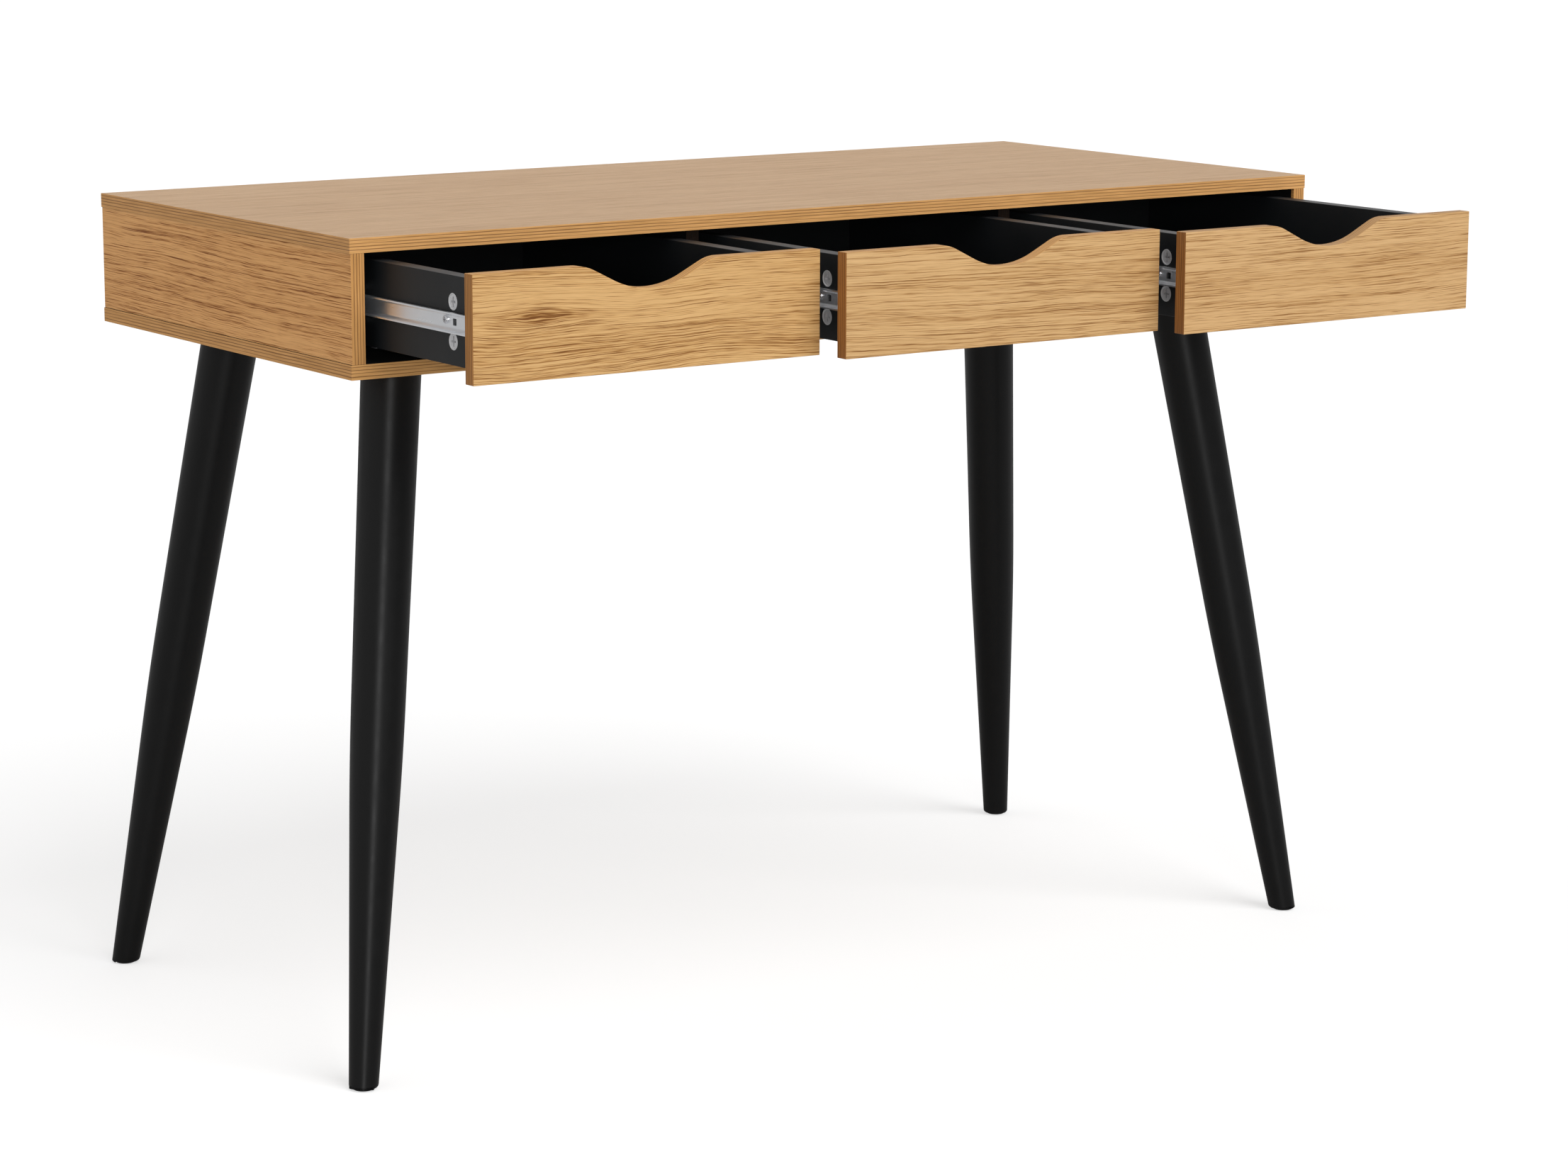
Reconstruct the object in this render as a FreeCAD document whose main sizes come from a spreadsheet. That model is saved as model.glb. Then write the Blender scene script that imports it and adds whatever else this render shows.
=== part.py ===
import FreeCAD, Part
import math
import os

from FreeCAD import Placement, Rotation, Vector

# A writing desk: a flat plywood case on four splayed turned legs, with three drawers side by
# side on ball-bearing runners.  Millimetres, +Z up, X along the desk, the front towards -Y.
# The origin is on the floor, in the middle of the box round the desk with its drawers part open.

doc = FreeCAD.newDocument("writing_desk")

# ---------------------------------------------------------------- driving dimensions
SIZES = {
    # the case
    "desk_width": 1100,
    "desk_depth": 500,
    "desk_height": 770,
    "case_height": 124.5,
    "case_y": 122.1,
    "board": 13.5,
    "eased_edge": 0.5,
    "end_inset": 1,
    "divider_recess": 20,
    "back_panel": 5,
    "back_inset": 5,
    "back_groove": 4,
    # knock-down fittings
    "cam_radius": 7.5,
    "cam_depth": 11,
    "cam_from_edge": 20,
    "cam_reach": 150,
    "cam_bolt_radius": 2.5,
    "cam_bolt_engaged": 3.5,
    "recess_slot": 1.5,
    "recess_depth": 1.5,
    "bolt_bite": 9,
    "dowel_radius": 4,
    "dowel_length": 28,
    "dowel_reach": 190,
    # screws
    "screw_radius": 1.75,
    "screw_head_radius": 3.5,
    "screw_flush_head": 1.2,
    "panel_screw_length": 25,
    "panel_screw_low": 25,
    "panel_screw_high": 75,
    "runner_screw_bite": 5.5,
    "box_screw_radius": 2.25,
    "box_screw_head_radius": 4.5,
    "box_screw_head": 3,
    "box_screw_length": 45,
    "box_screw_spread": 20,
    # the legs
    "leg_top_x": 458.3,
    "leg_top_y": 156.8,
    "leg_foot_x": 548.8,
    "leg_foot_y": 246.9,
    "leg_top_radius": 27.6,
    "leg_knee_radius": 24.25,
    "leg_foot_radius": 13.4,
    "leg_knee": 359,
    "leg_blend": 52,
    "foot_round": 3,
    "glide": 1.2,
    "glide_radius": 9,
    "leg_bolt_spread": 14,
    "leg_bolt_radius": 3,
    "leg_bolt_flange": 6.5,
    "leg_bolt_head": 4,
    "insert_radius": 4.5,
    "insert_length": 20,
    # the runners
    "runner_space": 13.2,
    "runner_length": 450,
    "runner_drop": 60.7,
    "runner_setback": 21,
    "cage_length": 96,
    "cage_start": 171,
    "ball_radius": 2.5,
    "ball_line": 11.8,
    "ball_from_panel": 8.1,
    "ball_step": 13,
    # the drawers
    "front_gap": 2,
    "front_gap_top": 1.5,
    "front_height": 94,
    "side_drop": 6.2,
    "side_height": 77,
    "side_board": 15,
    "drawer_bottom": 4,
    "bottom_lift": 8,
    "bottom_groove": 5,
    "drawer_cam_y": 39,
    "drawer_cam_spread": 17,
    "open_1": 182.5,
    "open_2": 219.7,
    "open_3": 254.1,
    # the finger scoop in each drawer front
    "scoop_depth": 22.5,
    "scoop_bowl": 85,
    "scoop_shoulder": 37,
    "scoop_angle": 26.4,
}

sheet = doc.addObject("Spreadsheet::Sheet", "Sizes")
for row, (alias, number) in enumerate(SIZES.items(), start=1):
    sheet.set("A%d" % row, alias)
    sheet.set("B%d" % row, str(number))
    sheet.setAlias("B%d" % row, alias)
doc.recompute()

# Levels and widths of the whole desk, as expressions on the sheet.
FRONT_Y = "(Sizes.case_y - Sizes.desk_depth / 2)"
UNDERSIDE = "(Sizes.desk_height - Sizes.case_height)"
BOTTOM_TOP = "(Sizes.desk_height - Sizes.case_height + Sizes.board)"
TOP_UNDER = "(Sizes.desk_height - Sizes.board)"
OPENING_HEIGHT = "(Sizes.case_height - 2 * Sizes.board)"
INNER_X = "(Sizes.desk_width / 2 - Sizes.end_inset - Sizes.board)"
BACK_FACE = "(Sizes.case_y + Sizes.desk_depth / 2 - Sizes.back_inset - Sizes.back_panel)"
RUNNER_Z = "(Sizes.desk_height - Sizes.runner_drop)"
RUNNER_Y = "(%s + Sizes.runner_setback)" % FRONT_Y
BOX_WIDTH = "((2 * %s - 6 * Sizes.runner_space - 2 * Sizes.board) / 3)" % INNER_X
BOX_PITCH = "(%s + 2 * Sizes.runner_space + Sizes.board)" % BOX_WIDTH
DIVIDER_X = "(%s / 2 + Sizes.runner_space)" % BOX_WIDTH
FACE_WIDTH = "((2 * %s - 4 * Sizes.front_gap) / 3)" % INNER_X
FACE_PITCH = "(%s + Sizes.front_gap)" % FACE_WIDTH
SIDE_TOP = "(Sizes.desk_height - Sizes.board - Sizes.front_gap_top - Sizes.side_drop)"
SIDE_BOTTOM = "(%s - Sizes.side_height)" % SIDE_TOP
BOLT_PAST_CENTRE = "(Sizes.cam_bolt_engaged - Sizes.cam_radius + Sizes.bolt_bite)"

# The way a cylinder made along +Z is turned to lie along another axis.
ALONG = {
    "+X": Rotation(Vector(0, 1, 0), 90),
    "-X": Rotation(Vector(0, 1, 0), -90),
    "+Y": Rotation(Vector(1, 0, 0), -90),
    "-Y": Rotation(Vector(1, 0, 0), 90),
    "+Z": Rotation(),
    "-Z": Rotation(Vector(1, 0, 0), 180),
}

nodes = []


# ---------------------------------------------------------------- helpers
def size(alias):
    """The number in one cell of the sheet."""
    return float(sheet.get(alias))


def place(piece, x, y, z, turn=None):
    """Put a piece at a place given by three expressions, turned by a fixed rotation."""
    piece.Placement = Placement(Vector(), turn or Rotation())
    piece.setExpression("Placement.Base.x", str(x))
    piece.setExpression("Placement.Base.y", str(y))
    piece.setExpression("Placement.Base.z", str(z))
    return piece


def block(name, x, y, z, length, width, height):
    """A plain rectangular block from its low corner."""
    piece = doc.addObject("Part::Box", name)
    piece.setExpression("Length", str(length))
    piece.setExpression("Width", str(width))
    piece.setExpression("Height", str(height))
    return place(piece, x, y, z)


def rod(name, x, y, z, radius, length, along):
    """A cylinder that starts at a point and runs along one axis."""
    piece = doc.addObject("Part::Cylinder", name)
    piece.setExpression("Radius", str(radius))
    piece.setExpression("Height", str(length))
    return place(piece, x, y, z, ALONG[along])


def ease(piece):
    """Break all the edges of a block by a small radius."""
    eased = doc.addObject("Part::Fillet", piece.Name + "_eased")
    eased.Base = piece
    radius = size("eased_edge")
    eased.Edges = [(number, radius, radius) for number in range(1, 13)]
    return eased


def gather(name, pieces):
    """Several separate solids held as one object."""
    group = doc.addObject("Part::Compound", name)
    group.Links = pieces
    return group


def weld(name, pieces):
    """Several touching solids joined into one."""
    joined = doc.addObject("Part::MultiFuse", name)
    joined.Shapes = pieces
    return joined


def cut(name, base, tools):
    """A piece with holes, grooves or recesses cut into it."""
    result = doc.addObject("Part::Cut", name)
    result.Base = base
    result.Tool = tools[0] if len(tools) == 1 else gather(name + "_tools", tools)
    return result


def node(label, piece):
    """Name a finished sub-part; the name is also its file's name."""
    piece.Label = label
    nodes.append(piece)
    return piece


def origin_plane(body, role):
    """One of a body's own origin planes."""
    return [item for item in body.Origin.OriginFeatures if item.Role == role][0]


def sketch_on(body, name, role, edges):
    """A closed sketch on an origin plane of its own body."""
    sketch = body.newObject("Sketcher::SketchObject", name)
    sketch.AttachmentSupport = [(origin_plane(body, role), "")]
    sketch.MapMode = "FlatFace"
    sketch.addGeometry(edges, False)
    return sketch


def outline(points):
    """The straight edges round a closed row of points."""
    corners = [Vector(first, second, 0) for first, second in points]
    return [Part.LineSegment(a, b) for a, b in zip(corners, corners[1:] + corners[:1])]


def extruded(name, edges, length):
    """A PartDesign body: a section drawn in XZ and padded towards -Y."""
    body = doc.addObject("PartDesign::Body", name)
    sketch = sketch_on(body, name + "_section", "XZ_Plane", edges)
    pad = body.newObject("PartDesign::Pad", name + "_pad")
    pad.Profile = sketch
    pad.setExpression("Length", length)
    body.Tip = pad
    return body


def cross_recess(name, x, y, z, long_arm, short_arm, outwards):
    """The tool that presses a cross-shaped driver recess into a face that looks along X."""
    slot = "Sizes.recess_slot"
    depth = "Sizes.recess_depth"
    start = x if outwards < 0 else "%s - %s" % (x, depth)
    upright = block(name + "_upright", start, "%s - %s / 2" % (y, slot), "%s - %s" % (z, long_arm / 2),
                    depth, slot, long_arm)
    level = block(name + "_level", start, "%s - %s" % (y, short_arm / 2), "%s - %s / 2" % (z, slot),
                  depth, short_arm, slot)
    return weld(name + "_cross", [upright, level])


def cam(name, x, y, z, outwards, bolt):
    """A round cam disc let into a board; outwards is the sign of X that its slotted face looks to.

    Returns the plain disc that bores its pocket, and the finished disc with its cross recess
    and the notch that its bolt's end lies in."""
    way = "-X" if outwards > 0 else "+X"
    disc = rod(name + "_disc", x, y, z, "Sizes.cam_radius", "Sizes.cam_depth", way)
    cross = cross_recess(name, x, y, z, 9, 6.5, outwards)
    return disc, cut(name + "_slotted", disc, [cross, bolt])


# ---------------------------------------------------------------- the case's fittings
def upright_fittings():
    """Cams, cam bolts and dowels that hold the four uprights between the top and bottom boards.

    Each upright is given as the X of its cam face, the sign of X which that face looks to,
    and the X of the middle of its thickness."""
    uprights = [
        ("left", "-" + INNER_X, 1, "(-%s - Sizes.board / 2)" % INNER_X),
        ("mid_left", "-" + DIVIDER_X, 1, "(-%s - Sizes.board / 2)" % DIVIDER_X),
        ("mid_right", DIVIDER_X, -1, "(%s + Sizes.board / 2)" % DIVIDER_X),
        ("right", INNER_X, -1, "(%s + Sizes.board / 2)" % INNER_X),
    ]
    bores = []
    fittings = []
    dowels = []
    for name, face, outwards, middle in uprights:
        for end, sign in (("front", "-"), ("back", "+")):
            cam_y = "(Sizes.case_y %s Sizes.cam_reach)" % sign
            dowel_y = "(Sizes.case_y %s Sizes.dowel_reach)" % sign
            for level in ("top", "bottom"):
                tag = "%s_%s_%s" % (name, end, level)
                if level == "top":
                    cam_z = "(%s - Sizes.cam_from_edge)" % TOP_UNDER
                    bolt_z = "%s + Sizes.cam_radius - Sizes.cam_bolt_engaged" % cam_z
                    dowel_z = "%s + Sizes.bolt_bite - Sizes.dowel_length" % TOP_UNDER
                    way = "+Z"
                else:
                    cam_z = "(%s + Sizes.cam_from_edge)" % BOTTOM_TOP
                    bolt_z = "%s - Sizes.cam_radius + Sizes.cam_bolt_engaged" % cam_z
                    dowel_z = "%s - Sizes.bolt_bite" % BOTTOM_TOP
                    way = "-Z"
                bolt = rod("bolt_" + tag, middle, cam_y, bolt_z, "Sizes.cam_bolt_radius",
                           "Sizes.cam_from_edge + %s" % BOLT_PAST_CENTRE, way)
                disc, slotted = cam("cam_" + tag, face, cam_y, cam_z, outwards, bolt)
                dowel = rod("dowel_" + tag, middle, dowel_y, dowel_z, "Sizes.dowel_radius",
                            "Sizes.dowel_length", "+Z")
                bores += [disc, bolt]
                fittings += [slotted, bolt]
                dowels.append(dowel)
    node("case_cam_fittings", gather("case_cam_fittings_group", fittings))
    node("case_dowels", gather("case_dowels_group", dowels))
    return bores + dowels


# ---------------------------------------------------------------- the case's boards
def back_panel():
    """Thin back board, held in a groove in the top, bottom and side boards."""
    edge = "Sizes.back_groove"
    panel = block("back_panel_blank", "-%s - %s" % (INNER_X, edge), BACK_FACE, "%s - %s" % (BOTTOM_TOP, edge),
                  "2 * %s + 2 * %s" % (INNER_X, edge), "Sizes.back_panel", "%s + 2 * %s" % (OPENING_HEIGHT, edge))
    screws = []
    shanks = []
    for side in (-1, 1):
        middle = "%d * (%s + Sizes.board / 2)" % (side, DIVIDER_X)
        for lift in ("low", "high"):
            tag = "back_screw_%s_%s" % ("left" if side < 0 else "right", lift)
            level = "%s + Sizes.panel_screw_%s" % (BOTTOM_TOP, lift)
            rear = "%s + Sizes.back_panel" % BACK_FACE
            shank = rod(tag + "_shank", middle, rear, level, "Sizes.screw_radius",
                        "Sizes.panel_screw_length", "-Y")
            head = rod(tag + "_head", middle, rear, level, "Sizes.screw_head_radius", 2, "+Y")
            shanks.append(shank)
            screws.append(weld(tag, [shank, head]))
    node("back_panel_screws", gather("back_panel_screws_group", screws))
    node("back_panel", cut("back_panel_drilled", panel, shanks))
    return panel, shanks


def case_boards(bores, panel, back_shanks, runner_shanks, leg_shanks):
    """Top and bottom boards, two side panels and two dividers, all of the same plywood."""
    width = "Sizes.desk_width"
    depth = "Sizes.desk_depth"
    top = block("top_blank", "-Sizes.desk_width / 2", FRONT_Y, TOP_UNDER, width, depth, "Sizes.board")
    node("top_board", cut("top_drilled", ease(top), bores + [panel]))
    bottom = block("bottom_blank", "-Sizes.desk_width / 2", FRONT_Y, UNDERSIDE, width, depth, "Sizes.board")
    node("bottom_board", cut("bottom_drilled", ease(bottom), bores + [panel] + leg_shanks))
    for name, low in (("left", "-%s - Sizes.board" % INNER_X), ("right", INNER_X)):
        side = block("side_%s_blank" % name, low, FRONT_Y, BOTTOM_TOP, "Sizes.board", depth, OPENING_HEIGHT)
        node("side_panel_" + name, cut("side_%s_drilled" % name, side, bores + [panel] + runner_shanks))
    divider_y = "%s + Sizes.divider_recess" % FRONT_Y
    for name, low in (("left", "-%s - Sizes.board" % DIVIDER_X), ("right", DIVIDER_X)):
        divider = block("divider_%s_blank" % name, low, divider_y, BOTTOM_TOP,
                        "Sizes.board", "%s - (%s)" % (BACK_FACE, divider_y), OPENING_HEIGHT)
        node("divider_" + name,
             cut("divider_%s_drilled" % name, divider, bores + back_shanks + runner_shanks))


# ---------------------------------------------------------------- the legs
def tangent_arc(before, corner, after, reach):
    """The arc that rounds a corner between two points, starting and ending at reach from it."""
    towards = (before - corner).normalize()
    away = (after - corner).normalize()
    half = towards.getAngle(away) / 2
    start = corner + towards * reach
    end = corner + away * reach
    radius = reach * math.tan(half)
    centre_line = (towards + away).normalize()
    middle = corner + centre_line * (reach / math.cos(half) - radius)
    return start, middle, end


def leg_blank(name):
    """A turned leg about its own axis, a little long at both ends.

    The upper half narrows very slightly, and a long blend leads into the straight taper
    that runs down to the foot."""
    run = math.dist((size("leg_top_x"), size("leg_top_y"), size("desk_height") - size("case_height")),
                    (size("leg_foot_x"), size("leg_foot_y"), 0))
    spare = 15
    knee = size("leg_knee")
    upper_slope = (size("leg_top_radius") - size("leg_knee_radius")) / knee
    lower_slope = (size("leg_knee_radius") - size("leg_foot_radius")) / (run - knee)
    head = Vector(size("leg_top_radius") + spare * upper_slope, spare, 0)
    corner = Vector(size("leg_knee_radius"), -knee, 0)
    toe = Vector(size("leg_foot_radius") - spare * lower_slope, -run - spare, 0)
    start, middle, end = tangent_arc(head, corner, toe, size("leg_blend"))
    axis_top = Vector(0, spare, 0)
    axis_end = Vector(0, -run - spare, 0)
    edges = [
        Part.LineSegment(axis_top, head),
        Part.LineSegment(head, start),
        Part.Arc(start, middle, end),
        Part.LineSegment(end, toe),
        Part.LineSegment(toe, axis_end),
        Part.LineSegment(axis_end, axis_top),
    ]
    body = doc.addObject("PartDesign::Body", name)
    sketch = sketch_on(body, name + "_profile", "XZ_Plane", edges)
    turned = body.newObject("PartDesign::Revolution", name + "_turned")
    turned.Profile = sketch
    turned.ReferenceAxis = (sketch, ["V_Axis"])
    turned.Angle = 360
    body.Tip = turned
    return body


def leg(name, side, end, inserts):
    """One splayed leg, cut level under the case and at the foot, with its foot edge rounded."""
    top = Vector(side * size("leg_top_x"), end * size("leg_top_y") + size("case_y"),
                 size("desk_height") - size("case_height"))
    foot = Vector(side * size("leg_foot_x"), end * size("leg_foot_y") + size("case_y"), 0)
    blank = leg_blank("leg_%s_blank" % name)
    blank.Placement = Placement(top, Rotation(Vector(0, 0, -1), foot - top))
    reach = 120
    slab = block("leg_%s_slab" % name,
                 "%d * (Sizes.leg_top_x + Sizes.leg_foot_x) / 2 - %d" % (side, reach),
                 "%d * (Sizes.leg_top_y + Sizes.leg_foot_y) / 2 + Sizes.case_y - %d" % (end, reach),
                 "Sizes.glide", 2 * reach, 2 * reach, "%s - Sizes.glide" % UNDERSIDE)
    trimmed = doc.addObject("Part::Common", "leg_%s_trimmed" % name)
    trimmed.Base = blank
    trimmed.Tool = slab
    doc.recompute()
    rims = [number for number, edge in enumerate(trimmed.Shape.Edges, start=1)
            if edge.BoundBox.ZMax < size("glide") + 0.01]
    rounded = doc.addObject("Part::Fillet", "leg_%s_rounded" % name)
    rounded.Base = trimmed
    rounded.Edges = [(number, size("foot_round"), size("foot_round")) for number in rims]
    node("leg_" + name, cut("leg_%s_bored" % name, rounded, inserts))


def legs():
    """Four legs, each held by two flange bolts that screw into brass inserts from inside the case."""
    bolts = []
    inserts = []
    glides = []
    shanks = []
    for end_name, end in (("front", -1), ("back", 1)):
        for side_name, side in (("left", -1), ("right", 1)):
            name = "%s_%s" % (end_name, side_name)
            bores = []
            for spread in (-1, 1):
                tag = "leg_bolt_%s_%s" % (name, "outer" if spread * side > 0 else "inner")
                x = "%d * Sizes.leg_top_x + %d * Sizes.leg_bolt_spread" % (side, spread)
                y = "%d * Sizes.leg_top_y + Sizes.case_y" % end
                shank = rod(tag + "_shank", x, y, BOTTOM_TOP, "Sizes.leg_bolt_radius",
                            "Sizes.board + Sizes.insert_length", "-Z")
                flange = rod(tag + "_flange", x, y, BOTTOM_TOP, "Sizes.leg_bolt_flange", 1.5, "+Z")
                cap = doc.addObject("Part::Prism", tag + "_hexagon")
                cap.Polygon = 6
                cap.Circumradius = 5.2
                cap.setExpression("Height", "Sizes.leg_bolt_head")
                place(cap, x, y, "%s + 1.5" % BOTTOM_TOP)
                sleeve = rod(tag + "_sleeve", x, y, UNDERSIDE, "Sizes.insert_radius",
                             "Sizes.insert_length", "-Z")
                shanks.append(shank)
                bores.append(sleeve)
                bolts.append(weld(tag, [shank, flange, cap]))
                inserts.append(cut(tag + "_insert", sleeve, [shank]))
            leg(name, side, end, bores)
            glides.append(rod("glide_" + name, "%d * Sizes.leg_foot_x" % side,
                              "%d * Sizes.leg_foot_y + Sizes.case_y" % end, 0,
                              "Sizes.glide_radius", "Sizes.glide", "+Z"))
    node("leg_bolts", gather("leg_bolts_group", bolts))
    node("leg_inserts", gather("leg_inserts_group", inserts))
    node("foot_glides", gather("foot_glides_group", glides))
    return shanks


# ---------------------------------------------------------------- the runners
def outer_runner_section(inwards):
    """The fixed channel: a flat web on the panel and two deep flanges with turned-in lips."""
    points = [(0, 16), (12.1, 16), (12.1, 13.4), (10.9, 13.4), (10.9, 14.8), (1.2, 14.8),
              (1.2, -14.8), (10.9, -14.8), (10.9, -13.4), (12.1, -13.4), (12.1, -16), (0, -16)]
    return outline([(inwards * x, z) for x, z in points])


def inner_runner_section(outwards):
    """The moving channel: a web on the drawer's side that flares into two narrow flanges."""
    points = [(0, -5.9), (0, 5.9), (3.2, 8.8), (7, 8.8), (7, 7.6), (3.7, 7.6),
              (1.2, 5.3), (1.2, -5.3), (3.7, -7.6), (7, -7.6), (7, -8.8), (3.2, -8.8)]
    return outline([(outwards * x, z) for x, z in points])


def cage_section(inwards):
    """The ball cage: a thin strip bent into a channel that lies between the two runners."""
    points = [(2.2, 12.3), (11.6, 12.3), (11.6, 11.3), (3.2, 11.3),
              (3.2, -11.3), (11.6, -11.3), (11.6, -12.3), (2.2, -12.3)]
    return outline([(inwards * x, z) for x, z in points])


def panel_faces(number):
    """The two panel faces that drawer number runs between, with the sign of X into the bay."""
    middle = "%d * %s" % (number - 2, BOX_PITCH)
    half = "(%s / 2 + Sizes.runner_space)" % BOX_WIDTH
    return (("left", "(%s - %s)" % (middle, half), 1), ("right", "(%s + %s)" % (middle, half), -1))


def outer_runners():
    """Six fixed runners, each with three flush screws into its panel."""
    screws = []
    shanks = []
    for number in (1, 2, 3):
        for side, face, inwards in panel_faces(number):
            name = "drawer_%d_outer_runner_%s" % (number, side)
            way = "+X" if inwards > 0 else "-X"
            back = "-X" if inwards > 0 else "+X"
            channel = extruded(name + "_channel", outer_runner_section(inwards), "Sizes.runner_length")
            place(channel, face, "%s + Sizes.runner_length" % RUNNER_Y, RUNNER_Z)
            heads = []
            for step in (30, 225, 420):
                tag = "%s_screw_%d" % (name, step)
                y = "%s + %d" % (RUNNER_Y, step)
                head = rod(tag + "_head", face, y, RUNNER_Z, "Sizes.screw_head_radius",
                           "Sizes.screw_flush_head", way)
                shank = rod(tag + "_shank", face, y, RUNNER_Z, "Sizes.screw_radius",
                            "Sizes.runner_screw_bite", back)
                heads.append(head)
                shanks.append(shank)
                screws.append(weld(tag, [head, shank]))
            node(name, cut(name + "_drilled", channel, heads))
    node("outer_runner_screws", gather("outer_runner_screws_group", screws))
    return shanks


def ball_cages(number):
    """Both ball cages of one drawer, with the balls loose in their holes.

    A cage travels half as far as its drawer, so it stands back from the drawer by half."""
    solids = []
    start = "(%s + Sizes.cage_start - Sizes.open_%d / 2)" % (RUNNER_Y, number)
    ball_count = 7
    first = (size("cage_length") - (ball_count - 1) * size("ball_step")) / 2
    for side, face, inwards in panel_faces(number):
        name = "drawer_%d_cage_%s" % (number, side)
        strip = extruded(name + "_strip", cage_section(inwards), "Sizes.cage_length")
        place(strip, face, "%s + Sizes.cage_length" % start, RUNNER_Z)
        x = "%s + %d * Sizes.ball_from_panel" % (face, inwards)
        holes = []
        for ball in range(ball_count):
            y = "%s + %s + %d * Sizes.ball_step" % (start, first, ball)
            holes.append(rod("%s_hole_%d" % (name, ball), x, y, "%s - 15" % RUNNER_Z,
                             "Sizes.ball_radius + 0.3", 30, "+Z"))
            for level, sign in (("upper", "+"), ("lower", "-")):
                sphere = doc.addObject("Part::Sphere", "%s_ball_%s_%d" % (name, level, ball))
                sphere.setExpression("Radius", "Sizes.ball_radius")
                place(sphere, x, y, "%s %s Sizes.ball_line" % (RUNNER_Z, sign))
                solids.append(sphere)
        solids.append(cut(name + "_holed", strip, holes))
    node("drawer_%d_ball_cages" % number, gather("drawer_%d_ball_cages_group" % number, solids))


# ---------------------------------------------------------------- the drawers
def face_edges():
    """The outline of a drawer front: a rectangle whose top edge dips into a finger scoop.

    The scoop is a wide bowl that straight flanks join to two rounded shoulders."""
    half = (2 * (size("desk_width") / 2 - size("end_inset") - size("board"))
            - 4 * size("front_gap")) / 6
    top = size("front_height")
    bowl = size("scoop_bowl")
    shoulder = size("scoop_shoulder")
    slope = math.radians(size("scoop_angle"))
    drop = size("scoop_depth")
    flank = (drop - (bowl + shoulder) * (1 - math.cos(slope))) / math.sin(slope)
    bowl_x = bowl * math.sin(slope)
    bowl_z = top - drop + bowl * (1 - math.cos(slope))
    flank_x = bowl_x + flank * math.cos(slope)
    flank_z = bowl_z + flank * math.sin(slope)
    scoop_x = flank_x + shoulder * math.sin(slope)

    def shoulder_arc(side):
        mid = slope / 2
        middle = Vector(side * (scoop_x - shoulder * math.sin(mid)), top - shoulder * (1 - math.cos(mid)), 0)
        return Part.Arc(Vector(side * flank_x, flank_z, 0), middle, Vector(side * scoop_x, top, 0))

    edges = [
        Part.LineSegment(Vector(-half, 0, 0), Vector(half, 0, 0)),
        Part.LineSegment(Vector(half, 0, 0), Vector(half, top, 0)),
        Part.LineSegment(Vector(half, top, 0), Vector(scoop_x, top, 0)),
        shoulder_arc(1),
        Part.LineSegment(Vector(flank_x, flank_z, 0), Vector(bowl_x, bowl_z, 0)),
        Part.Arc(Vector(bowl_x, bowl_z, 0), Vector(0, top - drop, 0), Vector(-bowl_x, bowl_z, 0)),
        Part.LineSegment(Vector(-bowl_x, bowl_z, 0), Vector(-flank_x, flank_z, 0)),
        shoulder_arc(-1),
        Part.LineSegment(Vector(-scoop_x, top, 0), Vector(-half, top, 0)),
        Part.LineSegment(Vector(-half, top, 0), Vector(-half, 0, 0)),
    ]
    return edges


def drawer_front(name, number, rear, tools):
    """The plywood front with its finger scoop; rear is the Y of the face towards the drawer box."""
    body = extruded(name + "_front_body", face_edges(), "Sizes.board")
    pad = body.Tip
    doc.recompute()
    eased = body.newObject("PartDesign::Fillet", name + "_front_eased")
    eased.Base = (pad, ["Edge%d" % index for index in range(1, len(pad.Shape.Edges) + 1)])
    eased.setExpression("Radius", "Sizes.eased_edge")
    body.Tip = eased
    place(body, "%d * %s" % (number - 2, FACE_PITCH), rear,
          "%s - Sizes.front_gap_top - Sizes.front_height" % TOP_UNDER)
    node(name + "_front", cut(name + "_front_cut", body, tools))


def drawer_cams(name, x_faces, rear):
    """Two cam discs in each drawer side, one above and one below the runner, with bolts to the front."""
    bores = []
    fittings = []
    y = "(%s + Sizes.drawer_cam_y)" % rear
    for side, face, outwards in x_faces:
        middle = "%s - %d * Sizes.side_board / 2" % (face, outwards)
        for level, sign in (("upper", "+"), ("lower", "-")):
            tag = "%s_cam_%s_%s" % (name, side, level)
            z = "(%s %s Sizes.drawer_cam_spread)" % (RUNNER_Z, sign)
            bolt = rod(tag + "_bolt", middle, "%s - Sizes.cam_radius + Sizes.cam_bolt_engaged" % y, z,
                       "Sizes.cam_bolt_radius", "Sizes.drawer_cam_y + %s" % BOLT_PAST_CENTRE, "-Y")
            disc, slotted = cam(tag, face, y, z, outwards, bolt)
            bores += [disc, bolt]
            fittings += [slotted, bolt]
    node(name + "_cam_fittings", gather(name + "_cam_fittings_group", fittings))
    return bores


def drawer_back_screws(name, x_faces, rear):
    """Two flush screws through each side into the drawer's back."""
    screws = []
    y = "%s + Sizes.runner_length - Sizes.side_board / 2" % rear
    for side, face, outwards in x_faces:
        way = "-X" if outwards > 0 else "+X"
        for level, sign in (("upper", "+"), ("lower", "-")):
            tag = "%s_back_screw_%s_%s" % (name, side, level)
            z = "%s %s Sizes.box_screw_spread" % (RUNNER_Z, sign)
            head = rod(tag + "_head", face, y, z, "Sizes.box_screw_head_radius", "Sizes.box_screw_head", way)
            shank = rod(tag + "_shank", face, y, z, "Sizes.box_screw_radius", "Sizes.box_screw_length", way)
            screws.append(weld(tag, [head, shank]))
    node(name + "_back_screws", gather(name + "_back_screws_group", screws))
    return screws


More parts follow.
